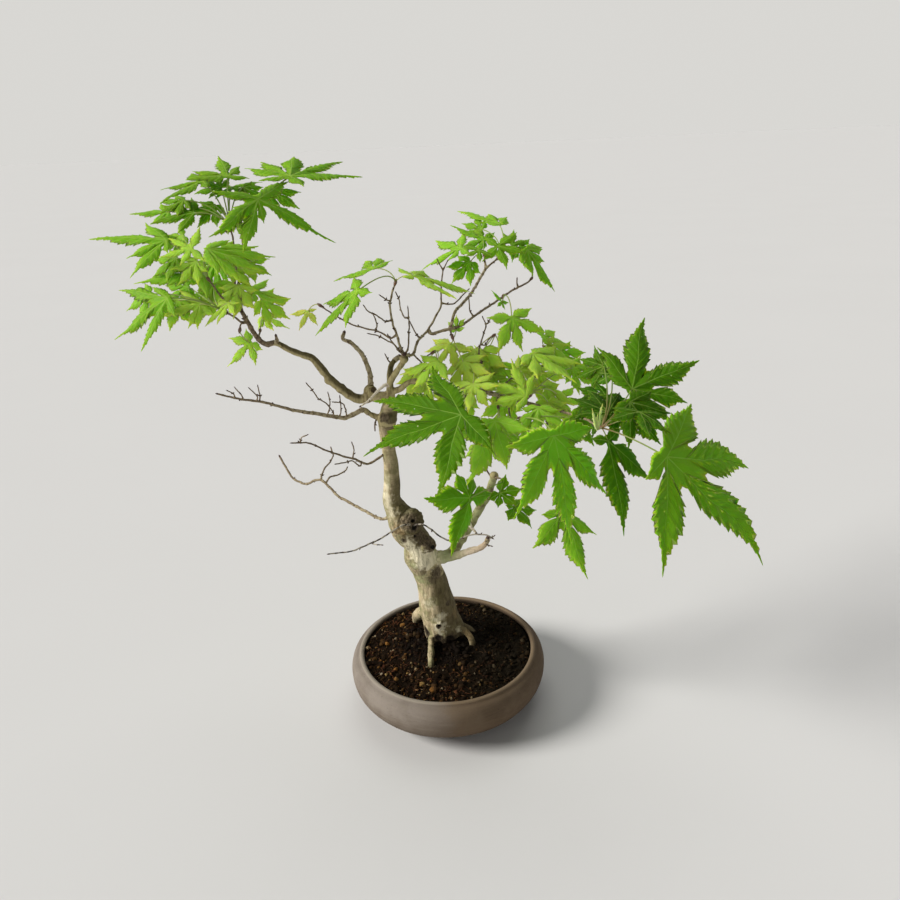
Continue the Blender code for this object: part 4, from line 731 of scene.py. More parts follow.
def barkFinish():
    bark = Finish("bark", Roughness=0.85, Specular_IOR_Level=0.12)
    place, tall = bark.place(), bark.place((1.0, 1.0, 0.28))
    high = bark.axis(place, 2)
    girth, wound, side, pale, moss, ochre, peeled, peeledAlong = bark.layers(
        "girth", "wound", "side", "pale", "moss", "ochre", "peeled", "peeledAlong")
    bands = bark.patches(bark.place((0.22, 0.22, 1.3)), 0.7, 4.0, 0.48, 0.66, 0.6)
    clouds = bark.patches(place, 0.11, 4.0, 0.44, 0.60, 0.6)
    streaks = bark.patches(tall, 0.55, 5.0, 0.46, 0.66, 0.65)
    specks = bark.patches(place, 1.5, 3.0, 0.55, 0.72, 0.7)
    cream = bark.blend(clouds, (0.56, 0.46, 0.285), (0.31, 0.285, 0.145))
    aged = bark.blend(streaks * 0.45, cream, (0.20, 0.140, 0.072))
    aged = bark.blend(bands * bark.step(high, 84.0, 100.0) * 0.45, aged, (0.17, 0.125, 0.068))
    young = bark.blend(streaks, (0.43, 0.365, 0.185), (0.20, 0.155, 0.068))
    bark.colour = bark.blend(bark.step(girth, 1.6, 5.5), young, aged)
    bark.coat(specks * 0.30, (0.10, 0.085, 0.06))
    shaken = bark.node("TexNoise", {}, {"Vector": place, "Scale": 0.5}, 1)
    shaken = bark.node("VectorMath", {"operation": "ADD"}, {0: tall, 1: shaken})
    split = bark.cells(shaken, 0.42, "DISTANCE_TO_EDGE")
    crack = (1.0 - bark.step(split, 0.0, 0.07)) * bark.step(girth, 3.5, 9.0)
    bark.coat(crack * 0.30, (0.06, 0.045, 0.03))
    # painted shade on the side turned from the light
    shaded = bark.step(side + bark.noise(place, 0.2, 3.0) * 0.5 - 0.25, 0.12, 0.72)
    shadow = bark.blend(streaks, (0.108, 0.085, 0.036), (0.056, 0.043, 0.017))
    bark.coat(shaded * 0.85, shadow)
    ragged = bark.noise(place, 0.5, 4.0, 0.6) - 0.5
    green = bark.blend(bark.patches(place, 0.3, 3.0, 0.4, 0.62), (0.37, 0.39, 0.19), (0.19, 0.18, 0.085))
    bark.coat(bark.step(moss + ragged * 0.5, 0.15, 0.75) * 0.85, green)
    stub = bark.ramp(peeledAlong + ragged * 0.14, (0.0, (0.74, 0.66, 0.46)), (0.16, (0.72, 0.64, 0.44)),
                     (0.30, (0.40, 0.43, 0.22)), (0.46, (0.42, 0.42, 0.23)), (0.62, (0.70, 0.58, 0.43)),
                     (1.0, (0.42, 0.30, 0.20)))
    stub = bark.blend(streaks * 0.35, stub, (0.26, 0.21, 0.12))
    torn = bark.step(peeled + ragged * 0.7, 0.20, 0.70)
    bark.coat(torn * (0.9 - specks * 0.3), stub)
    flaked = bark.step(pale + ragged * 0.5, 0.22, 0.72)
    bark.coat(flaked * (0.85 - streaks * 0.3), (0.80, 0.73, 0.52))
    tan = bark.blend(streaks, (0.26, 0.185, 0.088), (0.13, 0.088, 0.040))
    bark.coat(bark.step(ochre + ragged * 0.5, 0.22, 0.72) * 0.8, tan)
    crumbly = bark.patches(tall, 0.9, 5.0, 0.42, 0.62, 0.65)
    rotten = bark.blend(crumbly, (0.070, 0.052, 0.031), (0.150, 0.116, 0.074))
    # brown scar tissue, and painted shadow where a row only darkens
    scarred = bark.step(wound + bark.noise(place, 0.9, 3.0) * 0.4 - 0.2, 0.14, 0.52)
    bark.coat(scarred, rotten)
    # painted shade: near black in the deep hollows and knot holes
    bark.coat(bark.step(wound, 0.68, 0.92), (0.010, 0.008, 0.006))
    # soil stain and painted shade where the trunk meets the soil, deeper on the painted shade side
    footStainAndShade = bark.patches(place, 0.3, 3.0, 0.55, 0.75)
    low = 1.0 - bark.step(high, 33.0, 46.0)
    bark.coat(low * (0.25 + footStainAndShade * 0.35 + shaded * 0.3), (0.052, 0.036, 0.022))
    bark.show(0.78 + specks * 0.15)
    height = bark.noise(tall, 0.9, 6.0, 0.65) + bark.noise(place, 2.4, 3.0) * 0.35 - crack * 0.5
    bark.bump(height, 0.55, 0.8)
    return bark


def twigFinish():
    twig = Finish("twigBark", Roughness=0.8, Specular_IOR_Level=0.15)
    place = twig.place()
    age, bud, dead, bare = twig.layers("age", "bud", "dead", "bare")
    grey = twig.blend(twig.patches(place, 0.5, 4.0, 0.42, 0.62), (0.42, 0.355, 0.22), (0.19, 0.143, 0.078))
    fresh = twig.blend(twig.patches(place, 0.8, 3.0, 0.4, 0.65), (0.24, 0.18, 0.11), (0.10, 0.069, 0.045))
    twig.colour = twig.blend(twig.step(age, 0.25, 0.7), fresh, grey)
    dry = twig.blend(twig.patches(place, 0.35, 3.0, 0.45, 0.6), (0.36, 0.32, 0.25), (0.045, 0.034, 0.027))
    twig.coat(dead, dry)
    bone = twig.blend(twig.patches(place, 0.5, 3.0, 0.5, 0.65), (0.78, 0.70, 0.55), (0.42, 0.34, 0.25))
    twig.coat(bare, bone)
    scales = twig.blend(twig.noise(place, 1.3, 2.0), (0.05, 0.028, 0.022), (0.11, 0.065, 0.05))
    twig.coat(bud, scales)
    pores = twig.patches(place, 3.0, 2.0, 0.60, 0.72)
    twig.coat(pores * 0.4, (0.36, 0.32, 0.26))
    twig.show(0.72 + pores * 0.1)
    twig.bump(twig.noise(place, 2.2, 5.0, 0.6) + pores * 0.3, 0.22, 0.7)
    return twig


# Sprays: name, the twig that carries it, the node it stands for, its slot, how red its stalks are, and its
# leaves: knuckle (across, down, depth), lean, turn, youth from dark to yellow with painted light in it, the
# lobes' tips, how broad and how folded. Youth also paints light and shade: raised values light up leaves that
# lie in shade, and values below zero paint shade on leaves deep in the spray. A tip may say how far its lobe
# curves. Small leaves that fill the thick parts have one tip only
sprayTable = [
    ("crownRight", "crownTwig", "leaves_crown_right", "leaf_green", 0, (
        ((290, 176, -5), 15, 10, 0.36, ((304, 188), (363, 177), (343, 160), (294, 154), (260, 160),
         (244, 167), (258, 181)), 0.95),
        ((258, 199, -25), 45, 40, 0.34, ((290, 181), (336, 243), (264, 224), (243, 254), (208, 238),
         (212, 191)), 0.8),
        ((268, 190, -2), 35, 20, 0.28, (300, 206)),
    )),
    ("crownTop", "crownRiser", "leaves_crown_top", "leaf_green", 0, (
        ((228, 176, 10), 25, 20, 0.34, ((250, 179), (240, 166), (218, 155), (192, 171), (185, 180)), 0.95),
        ((232, 187, 22), 20, 10, 0.3, ((263, 182), (252, 196), (215, 200), (207, 184))),
        ((203, 181, 5), 15, -10, 0.34, ((216, 177), (191, 172), (160, 190), (160, 206), (208, 189))),
        ((194, 213, 0), 30, 20, 0.3, ((211, 212), (191, 197), (161, 205), (150, 224), (177, 235)), 0.95),
        ((168, 212, 12), 30, 10, 0.44, ((160, 203), (129, 214), (150, 225), (166, 225)), 0.9),
        ((221, 187, 12), 35, 0, 0.32, (196, 178)), ((243, 187, 20), 40, 20, 0.27, (264, 197)),
        ((214, 205, 8), 45, 0, 0.24, (196, 226)), ((184, 200, 6), 30, 0, 0.34, (158, 212)),
        ((238, 214, 6), 60, 0, 0.34, (242, 238)),
    )),
    ("crownLeft", "crownForkLeft", "leaves_crown_left", "leaf_light", 0.15, (
        ((166, 240, -15), 30, 10, 0.52, ((168, 254), (130, 279), (126, 259), (88, 239), (145, 222)), 0.88),
        ((191, 249, -28), 35, 0, 0.67, ((200, 226), (168, 238), (158, 257), (180, 266), (205, 262)), 0.95),
        ((208, 249, -35), 40, 30, 0.54, ((230, 240), (259, 246), (276, 257), (264, 271), (241, 284),
         (218, 276)), 0.9),
        ((203, 274, -6), 40, 10, 0.52, ((207, 300), (133, 284), (160, 262), (196, 258)), 0.9),
        ((215, 262, 12), 50, 0, 0.5, ((192, 262), (182, 288), (200, 306), (221, 300), (229, 283))),
        ((183, 236, -8), 45, -20, 0.58, (158, 250)), ((176, 258, -6), 45, -20, 0.5, (150, 276)),
        ((196, 262, -20), 45, 0, 0.7, (176, 284)), ((222, 250, -16), 45, 20, 0.63, (250, 264)),
    )),
    ("crownLow", "crownForkLow", "leaves_crown_low", "leaf_light", 0.2, (
        ((167, 298, -30), 45, -20, 0.42, ((152, 287), (118, 290), (114, 340), (141, 352), (176, 318)),
         0.78),
        ((200, 304, -16), 45, 10, 0.78, ((178, 290), (160, 318), (188, 329), (198, 330), (216, 318)), 0.9),
        ((228, 303, -22), 35, -30, 0.8, ((206, 305), (205, 327), (217, 325), (236, 315), (240, 303))),
        ((188, 287, -2), 45, -10, 0.49, (160, 302)), ((216, 284, -5), 50, 10, 0.69, (222, 314)),
        ((178, 300, -12), 50, -10, 0.69, (168, 330)), ((150, 294, -16), 50, -20, 0.56, (124, 310)),
        ((206, 296, -8), 55, 0, 0.8, (196, 322)),
    )),
    ("crownFork", "crownForkBare", "leaves_crown_fork", "leaf_light", 0, (
        ((252, 291, -5), 25, 40, 0.76, ((269, 279), (288, 298), (283, 305), (256, 304), (243, 299))),
        ((232, 268, -8), 50, 10, 0.69, (264, 270)), ((262, 300, 5), 55, 20, 0.79, (291, 318)),
        ((238, 286, -12), 50, 0, 0.82, (232, 318)), ((246, 262, -2), 50, 20, 0.64, (272, 274)),
    )),
    ("crownUnder", "crownSpur", "leaves_crown_under", "leaf_light", 0, (
        ((250, 343, -8), 50, -20, 0.72, ((246, 328), (228, 338), (227, 367), (256, 366), (263, 350))),
    )),
    ("crownFar", "crownKnot", "leaves_crown_far", "leaf_lime", 0, (
        ((263, 316, 25), 30, 30, 0.8, ((258, 330), (274, 331), (290, 329), (281, 317))),
    )),
    ("trio", "mainTwig", "leaves_trio", "leaf_light", 0, (
        ((357, 291, -20), 40, -60, 0.47, ((354, 276), (322, 304), (315, 336), (346, 329), (373, 293))),
        ((374, 268, 10), 15, -60, 0.62, ((333, 281), (364, 260), (376, 257), (393, 260))),
        ((414, 276, -4), 20, 80, 0.76, ((398, 267), (424, 269), (476, 293), (457, 301), (402, 279))),
    )),
    ("yellow", "longTwig", "leaves_yellow", "leaf_yellow", 0, (
        ((308, 311, 15), 45, -20, 0.97, ((289, 315), (299, 331), (318, 326), (317, 309))),
    )),
    ("topLeft", "topLeftTwig", "leaves_top_left", "leaf_green", 0, (
        ((460, 248, 70), 30, -40, 0.5, ((462, 232), (435, 240), (422, 270), (447, 262), (471, 255))),
        ((484, 240, 80), 30, 30, 0.39, ((495, 232), (476, 226), (450, 225), (463, 246), (478, 252))),
        ((479, 250, 58), 40, 0, 0.27, ((460, 244), (465, 257), (480, 263), (494, 257))),
        ((470, 262, 72), 55, -10, 0.4, (451, 283)),
    )),
    ("topFace", "topRightTwig", "leaves_top_face", "leaf_green", 0, (
        ((499, 224, 85), 15, 30, 0.47, ((508, 216), (488, 213), (457, 210), (480, 222))),
        ((498, 246, 60), 55, 0, 0.33, ((482, 262), (483, 236), (517, 232), (526, 254), (507, 270)), 1.1),
        ((512, 245, 74), 45, 20, 0.33, ((502, 232), (514, 229), (527, 240), (530, 256), (512, 263)), 1.1),
        ((482, 229, 90), 45, -10, 0.4, (461, 222)),
    )),
    ("topRight", "backLimb", "leaves_top_right", "leaf_green", 0, (
        ((527, 250, 65), 55, 50, 0.39, ((543, 249), (545, 262), (555, 292), (533, 276), (520, 262)), 1.1),
        ((520, 247, 80), 50, 10, 0.35, (542, 262)),
    )),
    ("star", "starSpur", "leaves_star", "leaf_light", 0, (
        ((512, 318, 5), 60, 20, 0.64, ((532, 308), (546, 333), (523, 352), (498, 353), (486, 318)), 1.1),
        ((502, 302, 15), 60, 50, 0.5, ((491, 290), (497, 307), (505, 310), (509, 303))),
    )),
    ("far", "farTwig", "leaves_far", "leaf_light", 0, (
        ((543, 337, 30), 35, 50, 0.64, ((540, 325), (556, 331), (573, 346), (557, 350)), 1.2),
        ((560, 352, 36), 50, 20, 0.54, (588, 372)), ((548, 346, 26), 50, 30, 0.64, (572, 360)),
    )),
    ("pale", "paleSpur", "leaves_pale", "leaf_lime", 0, (
        ((450, 344, 4), 45, -35, 0.85, ((472, 352), (459, 372), (437, 368), (424, 352), (432, 339))),
        ((463, 362, -8), 45, -35, 0.84, (472, 394)), ((456, 330, 2), 60, -30, 0.68, (456, 314)),
    )),
    ("left", "leafTwig", "leaves_left", "leaf_lime", 0, (
        ((437, 362, -17), 40, -30, 0.76, ((420, 355), (399, 375), (411, 390), (430, 395), (449, 381))),
        ((418, 372, 10), 60, -20, 0.87, (405, 400)), ((431, 380, 4), 60, -10, 0.84, (424, 410)),
    )),
    ("small", "darkForkB", "leaves_small", "leaf_light", 0, (
        ((484, 357, 15), 50, -30, 0.74, ((474, 345), (493, 346), (494, 372), (477, 374), (467, 362)), 1.15),
        ((481, 352, 10), 50, -35, 0.8, (487, 386)), ((498, 368, 2), 60, 0, 0.78, (512, 398)),
        ((474, 350, 8), 50, -35, 0.84, (462, 378)),
    )),
    ("behind", "rightSpikeB", "leaves_behind", "leaf_lime", 0, (
        ((473, 385, -28), 35, -20, 0.78, ((495, 372), (500, 386), (490, 408), (468, 414), (446, 404),
         (447, 383)), 1.1),
        ((490, 376, -1), 40, 0, 0.7, ((506, 364), (511, 379), (494, 388), (474, 388), (463, 372))),
        ((468, 398, 6), 60, -10, 0.77, (452, 421)), ((506, 402, 4), 60, 10, 0.74, (497, 434)),
        ((456, 392, 10), 60, 0, 0.78, (446, 420)),
    )),
    ("lime", "limeSpur", "leaves_lime", "leaf_lime", 0, (
        ((526, 396, -30), 55, 10, 0.72, ((534, 373), (511, 358), (488, 382), (490, 405), (516, 412))),
        ((533, 354, -5), 20, 40, 0.77, ((520, 366), (538, 380), (577, 384), (584, 365), (556, 346)), 1.1),
        ((545, 386, 2), 50, 30, 0.78, ((534, 392), (546, 420), (572, 428), (574, 405), (560, 384)), 1.1),
        ((560, 398, 8), 40, 20, 0.72, ((575, 386), (584, 404), (574, 424), (556, 424), (546, 408)), 1.1),
        ((548, 402, -6), 60, 20, 0.72, (556, 438)), ((520, 370, -14), 45, 30, 0.84, (550, 372)),
        ((572, 368, 4), 55, 20, 0.57, (598, 386)), ((507, 384, 2), 50, 10, 0.82, (512, 414)),
        ((538, 372, 12), 50, 20, 0.78, (562, 398)),
    )),
    ("lower", "redKnuckle", "leaves_lower", "leaf_green", 0.15, (
        ((538, 408, -34), 45, 0, 0.6, ((520, 408), (513, 433), (536, 440), (568, 431), (562, 410)), 1.1),
        ((554, 436, -80), 70, 40, 0.45, ((594, 428), (608, 495), (572, 545), (513, 520), (505, 447)), 1.14,
         0.04),
        ((572, 418, -40), 60, 20, 0.22, (596, 446)), ((528, 424, -22), 65, 0, 0.52, (520, 452)),
    )),
    ("front", "frontSpur", "leaves_front", "leaf_dark", 0, (
        ((461, 415, -62), 30, -10, 0.07, ((432, 365), (373, 401), (363, 457), (437, 497), (494, 454)), 1.2,
         -0.1),
    )),
    ("right", "rightArm", "leaves_right", "leaf_dark", 0.72, (
        ((667, 457, -95), 50, 40, 0.36, ((692, 403), (750, 468, 0.04), (764, 566, 0.07), (662, 578),
         (645, 480)), 1.22, -0.14),
        ((632, 389, -55), 50, 10, 0.06, ((597, 347), (645, 317), (700, 360), (688, 403), (672, 424)), 1.14),
        # painted shade: youth values below zero darken the leaves deep in this spray
        ((612, 374, -35), 55, -50, -0.02, ((594, 345), (577, 372), (592, 388))),
        ((608, 412, -60), 35, 10, -0.14, ((620, 392), (587, 390), (570, 398), (576, 416), (600, 425)), 1.3),
        ((640, 412, -78), 20, 40, -0.08, ((612, 408), (608, 420), (650, 438), (672, 434), (668, 415)),
         1.25),
        ((608, 441, -72), 62, 25, 0.06, ((590, 438), (624, 537), (651, 480), (622, 428)), 1.12),
        ((597, 430, -80), 68, 20, 1.24, ((592, 408), (598, 413), (603, 403)), 0.62),
        ((604, 366, -28), 55, -20, 0.02, (574, 378)), ((630, 402, -66), 55, 15, -0.08, (664, 444)),
        ((600, 400, -46), 60, -10, -0.2, (592, 438)), ((606, 396, -38), 50, 0, -0.16, (574, 408)),
        ((624, 400, -50), 45, 10, -0.16, (612, 436)),
    )),
    ("low", "lowSpur", "leaves_low", "leaf_green", 0, (
        ((563, 514, -30), 35, 40, 0.42, ((541, 515), (532, 549), (588, 580), (597, 535)), 1.15),
    )),
    ("hanging", "hangingSpur", "leaves_hanging", "leaf_green", 0, (
        ((495, 421, -50), 45, -20, 0.56, ((535, 432), (507, 470), (466, 486), (450, 440)), 1.15),
        ((489, 440, -34), 70, -10, 0.55, (482, 474)), ((503, 430, -30), 65, 10, 0.6, (510, 462)),
    )),
    ("knob", "lowerSpur", "leaves_knob", "leaf_dark", 0, (
        ((470, 498, -10), 70, 50, 0.24, ((494, 493), (473, 474), (455, 472), (423, 498), (451, 557)), 1.4),
        ((500, 493, -2), 55, -10, 0.2, ((506, 474), (523, 488), (517, 506), (498, 508), (488, 500)), 1.65),
        ((515, 507, 4), 35, 50, 0.22, ((524, 498), (537, 510), (532, 529), (508, 521), (505, 505)), 1.65),
    )),
]
sprayTwigs = {row[1] for row in sprayTable}
leaf = {"seed": 5, "sinus": 0.37, "youngSinus": 0.38, "sinusDraw": (0.92, 1.06), "openGap": 44.0,
        "baseNotch": 0.07, "halfWidth": 0.135, "youngWidth": 0.180, "widthDraw": (0.93, 1.07), "widest": 0.27,
        "slim": 0.55, "smallFrom": 52.0, "smallRun": 26.0, "droop": 0.10, "fold": 0.28,
        "teeth": (4, 5.0, 46.0), "toothDepth": 0.046, "youngTeeth": 0.35, "biteDraw": (0.6, 1.25),
        "deepest": 0.55, "sweep": 0.034, "halfGap": 0.96, "openEdge": 52.0, "wave": 0.022, "waves": 9.0,
        "bend": 0.040, "quilt": 0.012, "veinMeets": 0.78, "veinAngle": 0.8, "bowed": 1.25, "thickness": 0.24,
        "stalk": 0.37, "stalkSteps": 12, "stalkSides": 8, "stalkOut": 0.25, "stalkOn": 0.3, "stalkRise": 0.08,
        "budRadius": 1.1, "gap": 0.3, "fillBroad": 1.2,
        "plainLobes": ((-82, 0.58), (-42, 0.88), (0, 1.0), (42, 0.88), (82, 0.58))}
# Half a lobe: its width along it, a tooth's outline, and the rows from rib to edge
widthAlong = (0.0, 0.10, 0.22, 0.38, 0.52, 0.65, 0.76, 0.87, 0.95, 1.0)
widthShare = (0.0, 0.84, 1.00, 1.00, 0.86, 0.56, 0.32, 0.19, 0.09, 0.0)
toothRows = ((0.0, 0.0), (0.28, 0.50), (0.40, 0.34), (0.78, 1.0))
acrossRows = (0.0, 0.08, 0.30, 0.62, 1.0)
sinusRows = 4
sinusShare = np.arange(sinusRows) / sinusRows


def bladeNormal(lean, turn):
    lean, turn = math.radians(lean), math.radians(turn)
    return Vector((math.sin(lean) * math.sin(turn), -math.sin(lean) * math.cos(turn), math.cos(lean)))


def onPlane(across, down, origin, normal):
    line = sight(across, down)
    return eye["at"] + line * ((origin - eye["at"]).dot(normal) / line.dot(normal))


def lobeRibs(knuckle, normal, tips):
    ribs = []
    for across, down, *arc in tips:
        flat = onPlane(across, down, knuckle, normal) - knuckle
        flat = onPlane(across, down, knuckle - normal * flat.length * leaf["droop"], normal) - knuckle
        flat -= normal * flat.dot(normal)
        ribs.append((flat.normalized(), flat.length, sum(arc)))
    if ribs[0][0].cross(ribs[1][0]).dot(normal) < 0.0:
        ribs.reverse()
    return ribs


def plainRibs(knuckle, normal, tip):  # a young leaf of five lobes about its middle one
    flat = onPlane(*tip, knuckle, normal) - knuckle
    flat -= normal * flat.dot(normal)
    return [(Matrix.Rotation(math.radians(angle), 3, normal) @ flat.normalized(), flat.length * share, 0.0)
            for angle, share in leaf["plainLobes"]]


def smoothRise(value):
    value = np.clip(value, 0.0, 1.0)
    return value * value * (3.0 - 2.0 * value)


def lobeNotches(ribs, longest, small, draw):  # between the lobes: way, reach, shorter lobe, half the angle
    sinus = leaf["sinus"] + (leaf["youngSinus"] - leaf["sinus"]) * small
    gaps = [before[0].angle(after[0]) for before, after in zip(ribs[:-1], ribs[1:])]
    base = (ribs[0][0] + ribs[-1][0]).normalized()
    base = base if sum(gaps) > math.pi else -base
    notches = [(base, leaf["baseNotch"] * longest, longest, None)]
    for gap, (first, firstLength, _), (second, secondLength, _) in zip(gaps, ribs[:-1], ribs[1:]):
        shorter = min(firstLength, secondLength)
        opened = min(1.0, math.radians(leaf["openGap"]) / gap)
        reach = sinus * shorter * opened * draw.uniform(*leaf["sinusDraw"])
        notches.append(((first + second).normalized(), reach, shorter, gap / 2.0))
    return notches + notches[:1]


def makeLobe(rib, normal, pair, longest, small, broad, draw):
    way, length, arc = rib
    side = normal.cross(way)
    starts = [(reach * line.dot(way) / length, reach * abs(line.dot(side)) / length)
              for line, reach, _, _ in pair]
    least, more, full = leaf["teeth"]
    teeth = least + round(more * min(1.0, length / full))
    t = np.array([(tooth + at) / teeth for tooth in range(teeth) for at, _ in toothRows] + [1.0])
    middle = max(0.05, sum(max(a - leaf["veinAngle"] * w, 0.35 * a) for a, w in starts) / 2.0)
    lead = sum(a for a, _ in starts) / 2.0
    width = leaf["halfWidth"] + (leaf["youngWidth"] - leaf["halfWidth"]) * small
    width = min(leaf["widest"], width * (longest / length) ** leaf["slim"])
    width = width * broad * draw.uniform(*leaf["widthDraw"])
    plain = width * np.interp(t, widthAlong, widthShare)
    rows = np.maximum.accumulate(np.maximum(middle, lead + (1.0 - lead) * t - leaf["veinAngle"] * plain))
    rows = middle + (rows - rows[0] + t * 0.02) * (1.0 - middle) / (rows[-1] - rows[0] + 0.02)
    bend, phase = draw.uniform(-1, 1) * leaf["bend"], draw.uniform(0, 6.3)
    return SimpleNamespace(
        way=way, side=side, normal=normal, length=length, bend=arc or bend, wavePhase=phase, teeth=teeth, t=t,
        width=width, plain=plain, small=small, ribAlong=np.concatenate([middle * sinusShare, rows])), starts


def lobeEdge(lobe, start, half, draw):  # the toothed edge of half a lobe: how far along and aside
    (a, w), t, teeth = start, lobe.t, lobe.teeth
    tooth = np.array([out for _ in range(teeth) for _, out in toothRows] + [1.0])
    bite = np.array([draw.uniform(*leaf["biteDraw"]) for _ in range(teeth)] + [1.0])
    rise = smoothRise(t / 0.10)
    depth = leaf["toothDepth"] * (1.0 + leaf["youngTeeth"] * lobe.small) * (0.5 + 0.5 * (1.0 - t)) * rise
    depth = depth * np.repeat(bite, [len(toothRows)] * teeth + [1])
    if w < lobe.width:
        span = w + (lobe.plain - w) * smoothRise(t / 0.22)
    else:
        span = np.maximum(lobe.plain, w * (1 - t * 3))
    aside = np.maximum(span - np.minimum(depth, span * leaf["deepest"]) * (1.0 - tooth), 0.0)
    along = a + (1.0 - a) * (t + leaf["sweep"] * tooth * (1.0 - t) * rise)
    limit = math.tan(half * leaf["halfGap"]) if half else math.tan(math.radians(leaf["openEdge"]))
    aside = np.minimum(aside, np.maximum(along, 0.0) * limit + (0.0 if half else w))
    aside[0], aside[-1] = w, 0.0
    return np.concatenate([a * sinusShare, along]), np.concatenate([w * sinusShare, aside])


def halfLobe(lobe, notch, start, hand, fold, draw):  # points from the rib to the edge, and what they carry
    _, reach, shorter, half = notch
    edgeAlong, edgeAside = lobeEdge(lobe, start, half, draw)
    length, ribAlong, across = lobe.length, lobe.ribAlong, np.array(acrossRows)
    t = np.concatenate([np.zeros(sinusRows), lobe.t])
    phase = t * lobe.teeth
    inward = reach * np.minimum(np.arange(len(t)) / sinusRows, 1.0)
    zSinus = -leaf["droop"] * (inward / shorter) ** 2 * shorter - fold * 0.5 * inward
    zFree = -(leaf["droop"] * edgeAlong ** 2 + fold * edgeAside) * length
    wave = leaf["wave"] * length * np.sin(edgeAlong * leaf["waves"] + lobe.wavePhase + hand)
    zFree += wave * np.minimum(edgeAside * 20.0, smoothRise(edgeAlong * 2 - 0.6))
    zEdge = zSinus + (zFree - zSinus) * smoothRise(t / 0.3)
    zRib = -leaf["droop"] * ribAlong ** 2 * length
    bulge = np.abs((phase % 1.0) - leaf["veinMeets"]) * 2.2 - 0.35
    bulge = leaf["quilt"] * length * bulge * smoothRise(t * 5)
    along = ribAlong[:, None] + (edgeAlong - ribAlong)[:, None] * across
    aside = edgeAside[:, None] * across
    shift = lobe.bend * np.sin(math.pi * np.clip((along - 0.4) / 0.6, 0, 1)) * smoothRise(t / 0.2)[:, None]
    z = (zRib[:, None] + (zEdge - zRib)[:, None] * across ** leaf["bowed"]
         + bulge[:, None] * np.sin(math.pi * across) * np.minimum(1.0, edgeAside / 0.1)[:, None])
    points = (np.array(lobe.way) * (along * length)[..., None]
              + np.array(lobe.side) * ((hand * aside + shift) * length)[..., None]
              + np.array(lobe.normal) * z[..., None])
    pitch = np.full(along.size, (1 - start[0]) * length / lobe.teeth)
    carried = (np.repeat(phase, len(acrossRows)), (aside * length).ravel(), along.ravel(), pitch)
    return points.reshape(-1, 3), np.stack(carried, 1)


def bladeSheet(knuckle, lean, turn, tips, broad, fold, draw):
    normal = bladeNormal(lean, turn)
    ribs = lobeRibs(knuckle, normal, tips) if isinstance(tips[0], tuple) else plainRibs(knuckle, normal, tips)
    longest = max(length for _, length, _ in ribs)
    small = smoothRise((leaf["smallFrom"] - longest) / leaf["smallRun"])
    notches = lobeNotches(ribs, longest, small, draw)
    points, faces, carried, count = [], [], [], 0
    for rib, *pair in zip(ribs, notches[:-1], notches[1:]):
        lobe, starts = makeLobe(rib, normal, pair, longest, small, broad, draw)
        for hand, notch, start in zip((-1, 1), pair, starts):
            flat, values = halfLobe(lobe, notch, start, hand, fold, draw)
            grid = (count + np.arange(len(flat))).reshape(-1, len(acrossRows)).tolist()
            for near, far in zip(grid[:-1], grid[1:]):
                quads = [list(quad) for quad in zip(near[:-1], far[:-1], far[1:], near[1:])]
                faces += quads if hand > 0 else [quad[::-1] for quad in quads]
            points.append(np.array(knuckle) + flat)
            carried.append(values)
            count += len(flat)
    return np.vstack(points), faces, np.vstack(carried)


def weld(points, faces, carried):
    _, first, order = np.unique(np.round(points * 500.0), axis=0, return_index=True, return_inverse=True)
    order = order.ravel()
    kept = []
    for face in faces:
        ring = [order[index] for index in face]
        ring = [index for place, index in enumerate(ring) if index != ring[place - 1]]
        if len(set(ring)) == len(ring) > 2:
            kept.append(ring)
    return points[first], kept, carried[first]


def shell(points, faces, thickness):  # the blade gets an underside that shares the margin's points
    normals, edges = np.zeros_like(points), {}
    for face in faces:
        a, b, c = points[face[0]], points[face[1]], points[face[-1]]
        cross = np.cross(b - a, c - a)
        for index in face:
            normals[index] += cross
        for start, end in zip(face, face[1:] + face[:1]):
            key = (min(start, end), max(start, end))
            edges[key] = edges.get(key, 0) + 1
    normals /= np.linalg.norm(normals, axis=1)[:, None] + 1e-12
    margin = np.zeros(len(points), bool)
    for (start, end), used in edges.items():
        if used == 1:
            margin[[start, end]] = True
    inner = np.nonzero(~margin)[0]
    under = np.arange(len(points))
    under[inner] = len(points) + np.arange(len(inner))
    top = points + normals * (thickness / 2.0) * (~margin)[:, None]
    below = points[inner] - normals[inner] * thickness / 2.0
    turned = [[int(under[index]) for index in face[::-1]] for face in faces]
    return np.vstack([top, below]), faces + turned, inner


def stalkLine(root, way, knuckle):
    straight = knuckle - root
    bend = root + way * straight.length * leaf["stalkOut"] + straight * leaf["stalkOn"]
    bend.z += straight.length * leaf["stalkRise"]
    shares = [part / leaf["stalkSteps"] for part in range(leaf["stalkSteps"] + 1)]
    return [root.lerp(bend, share).lerp(bend.lerp(knuckle, share), share) for share in shares]


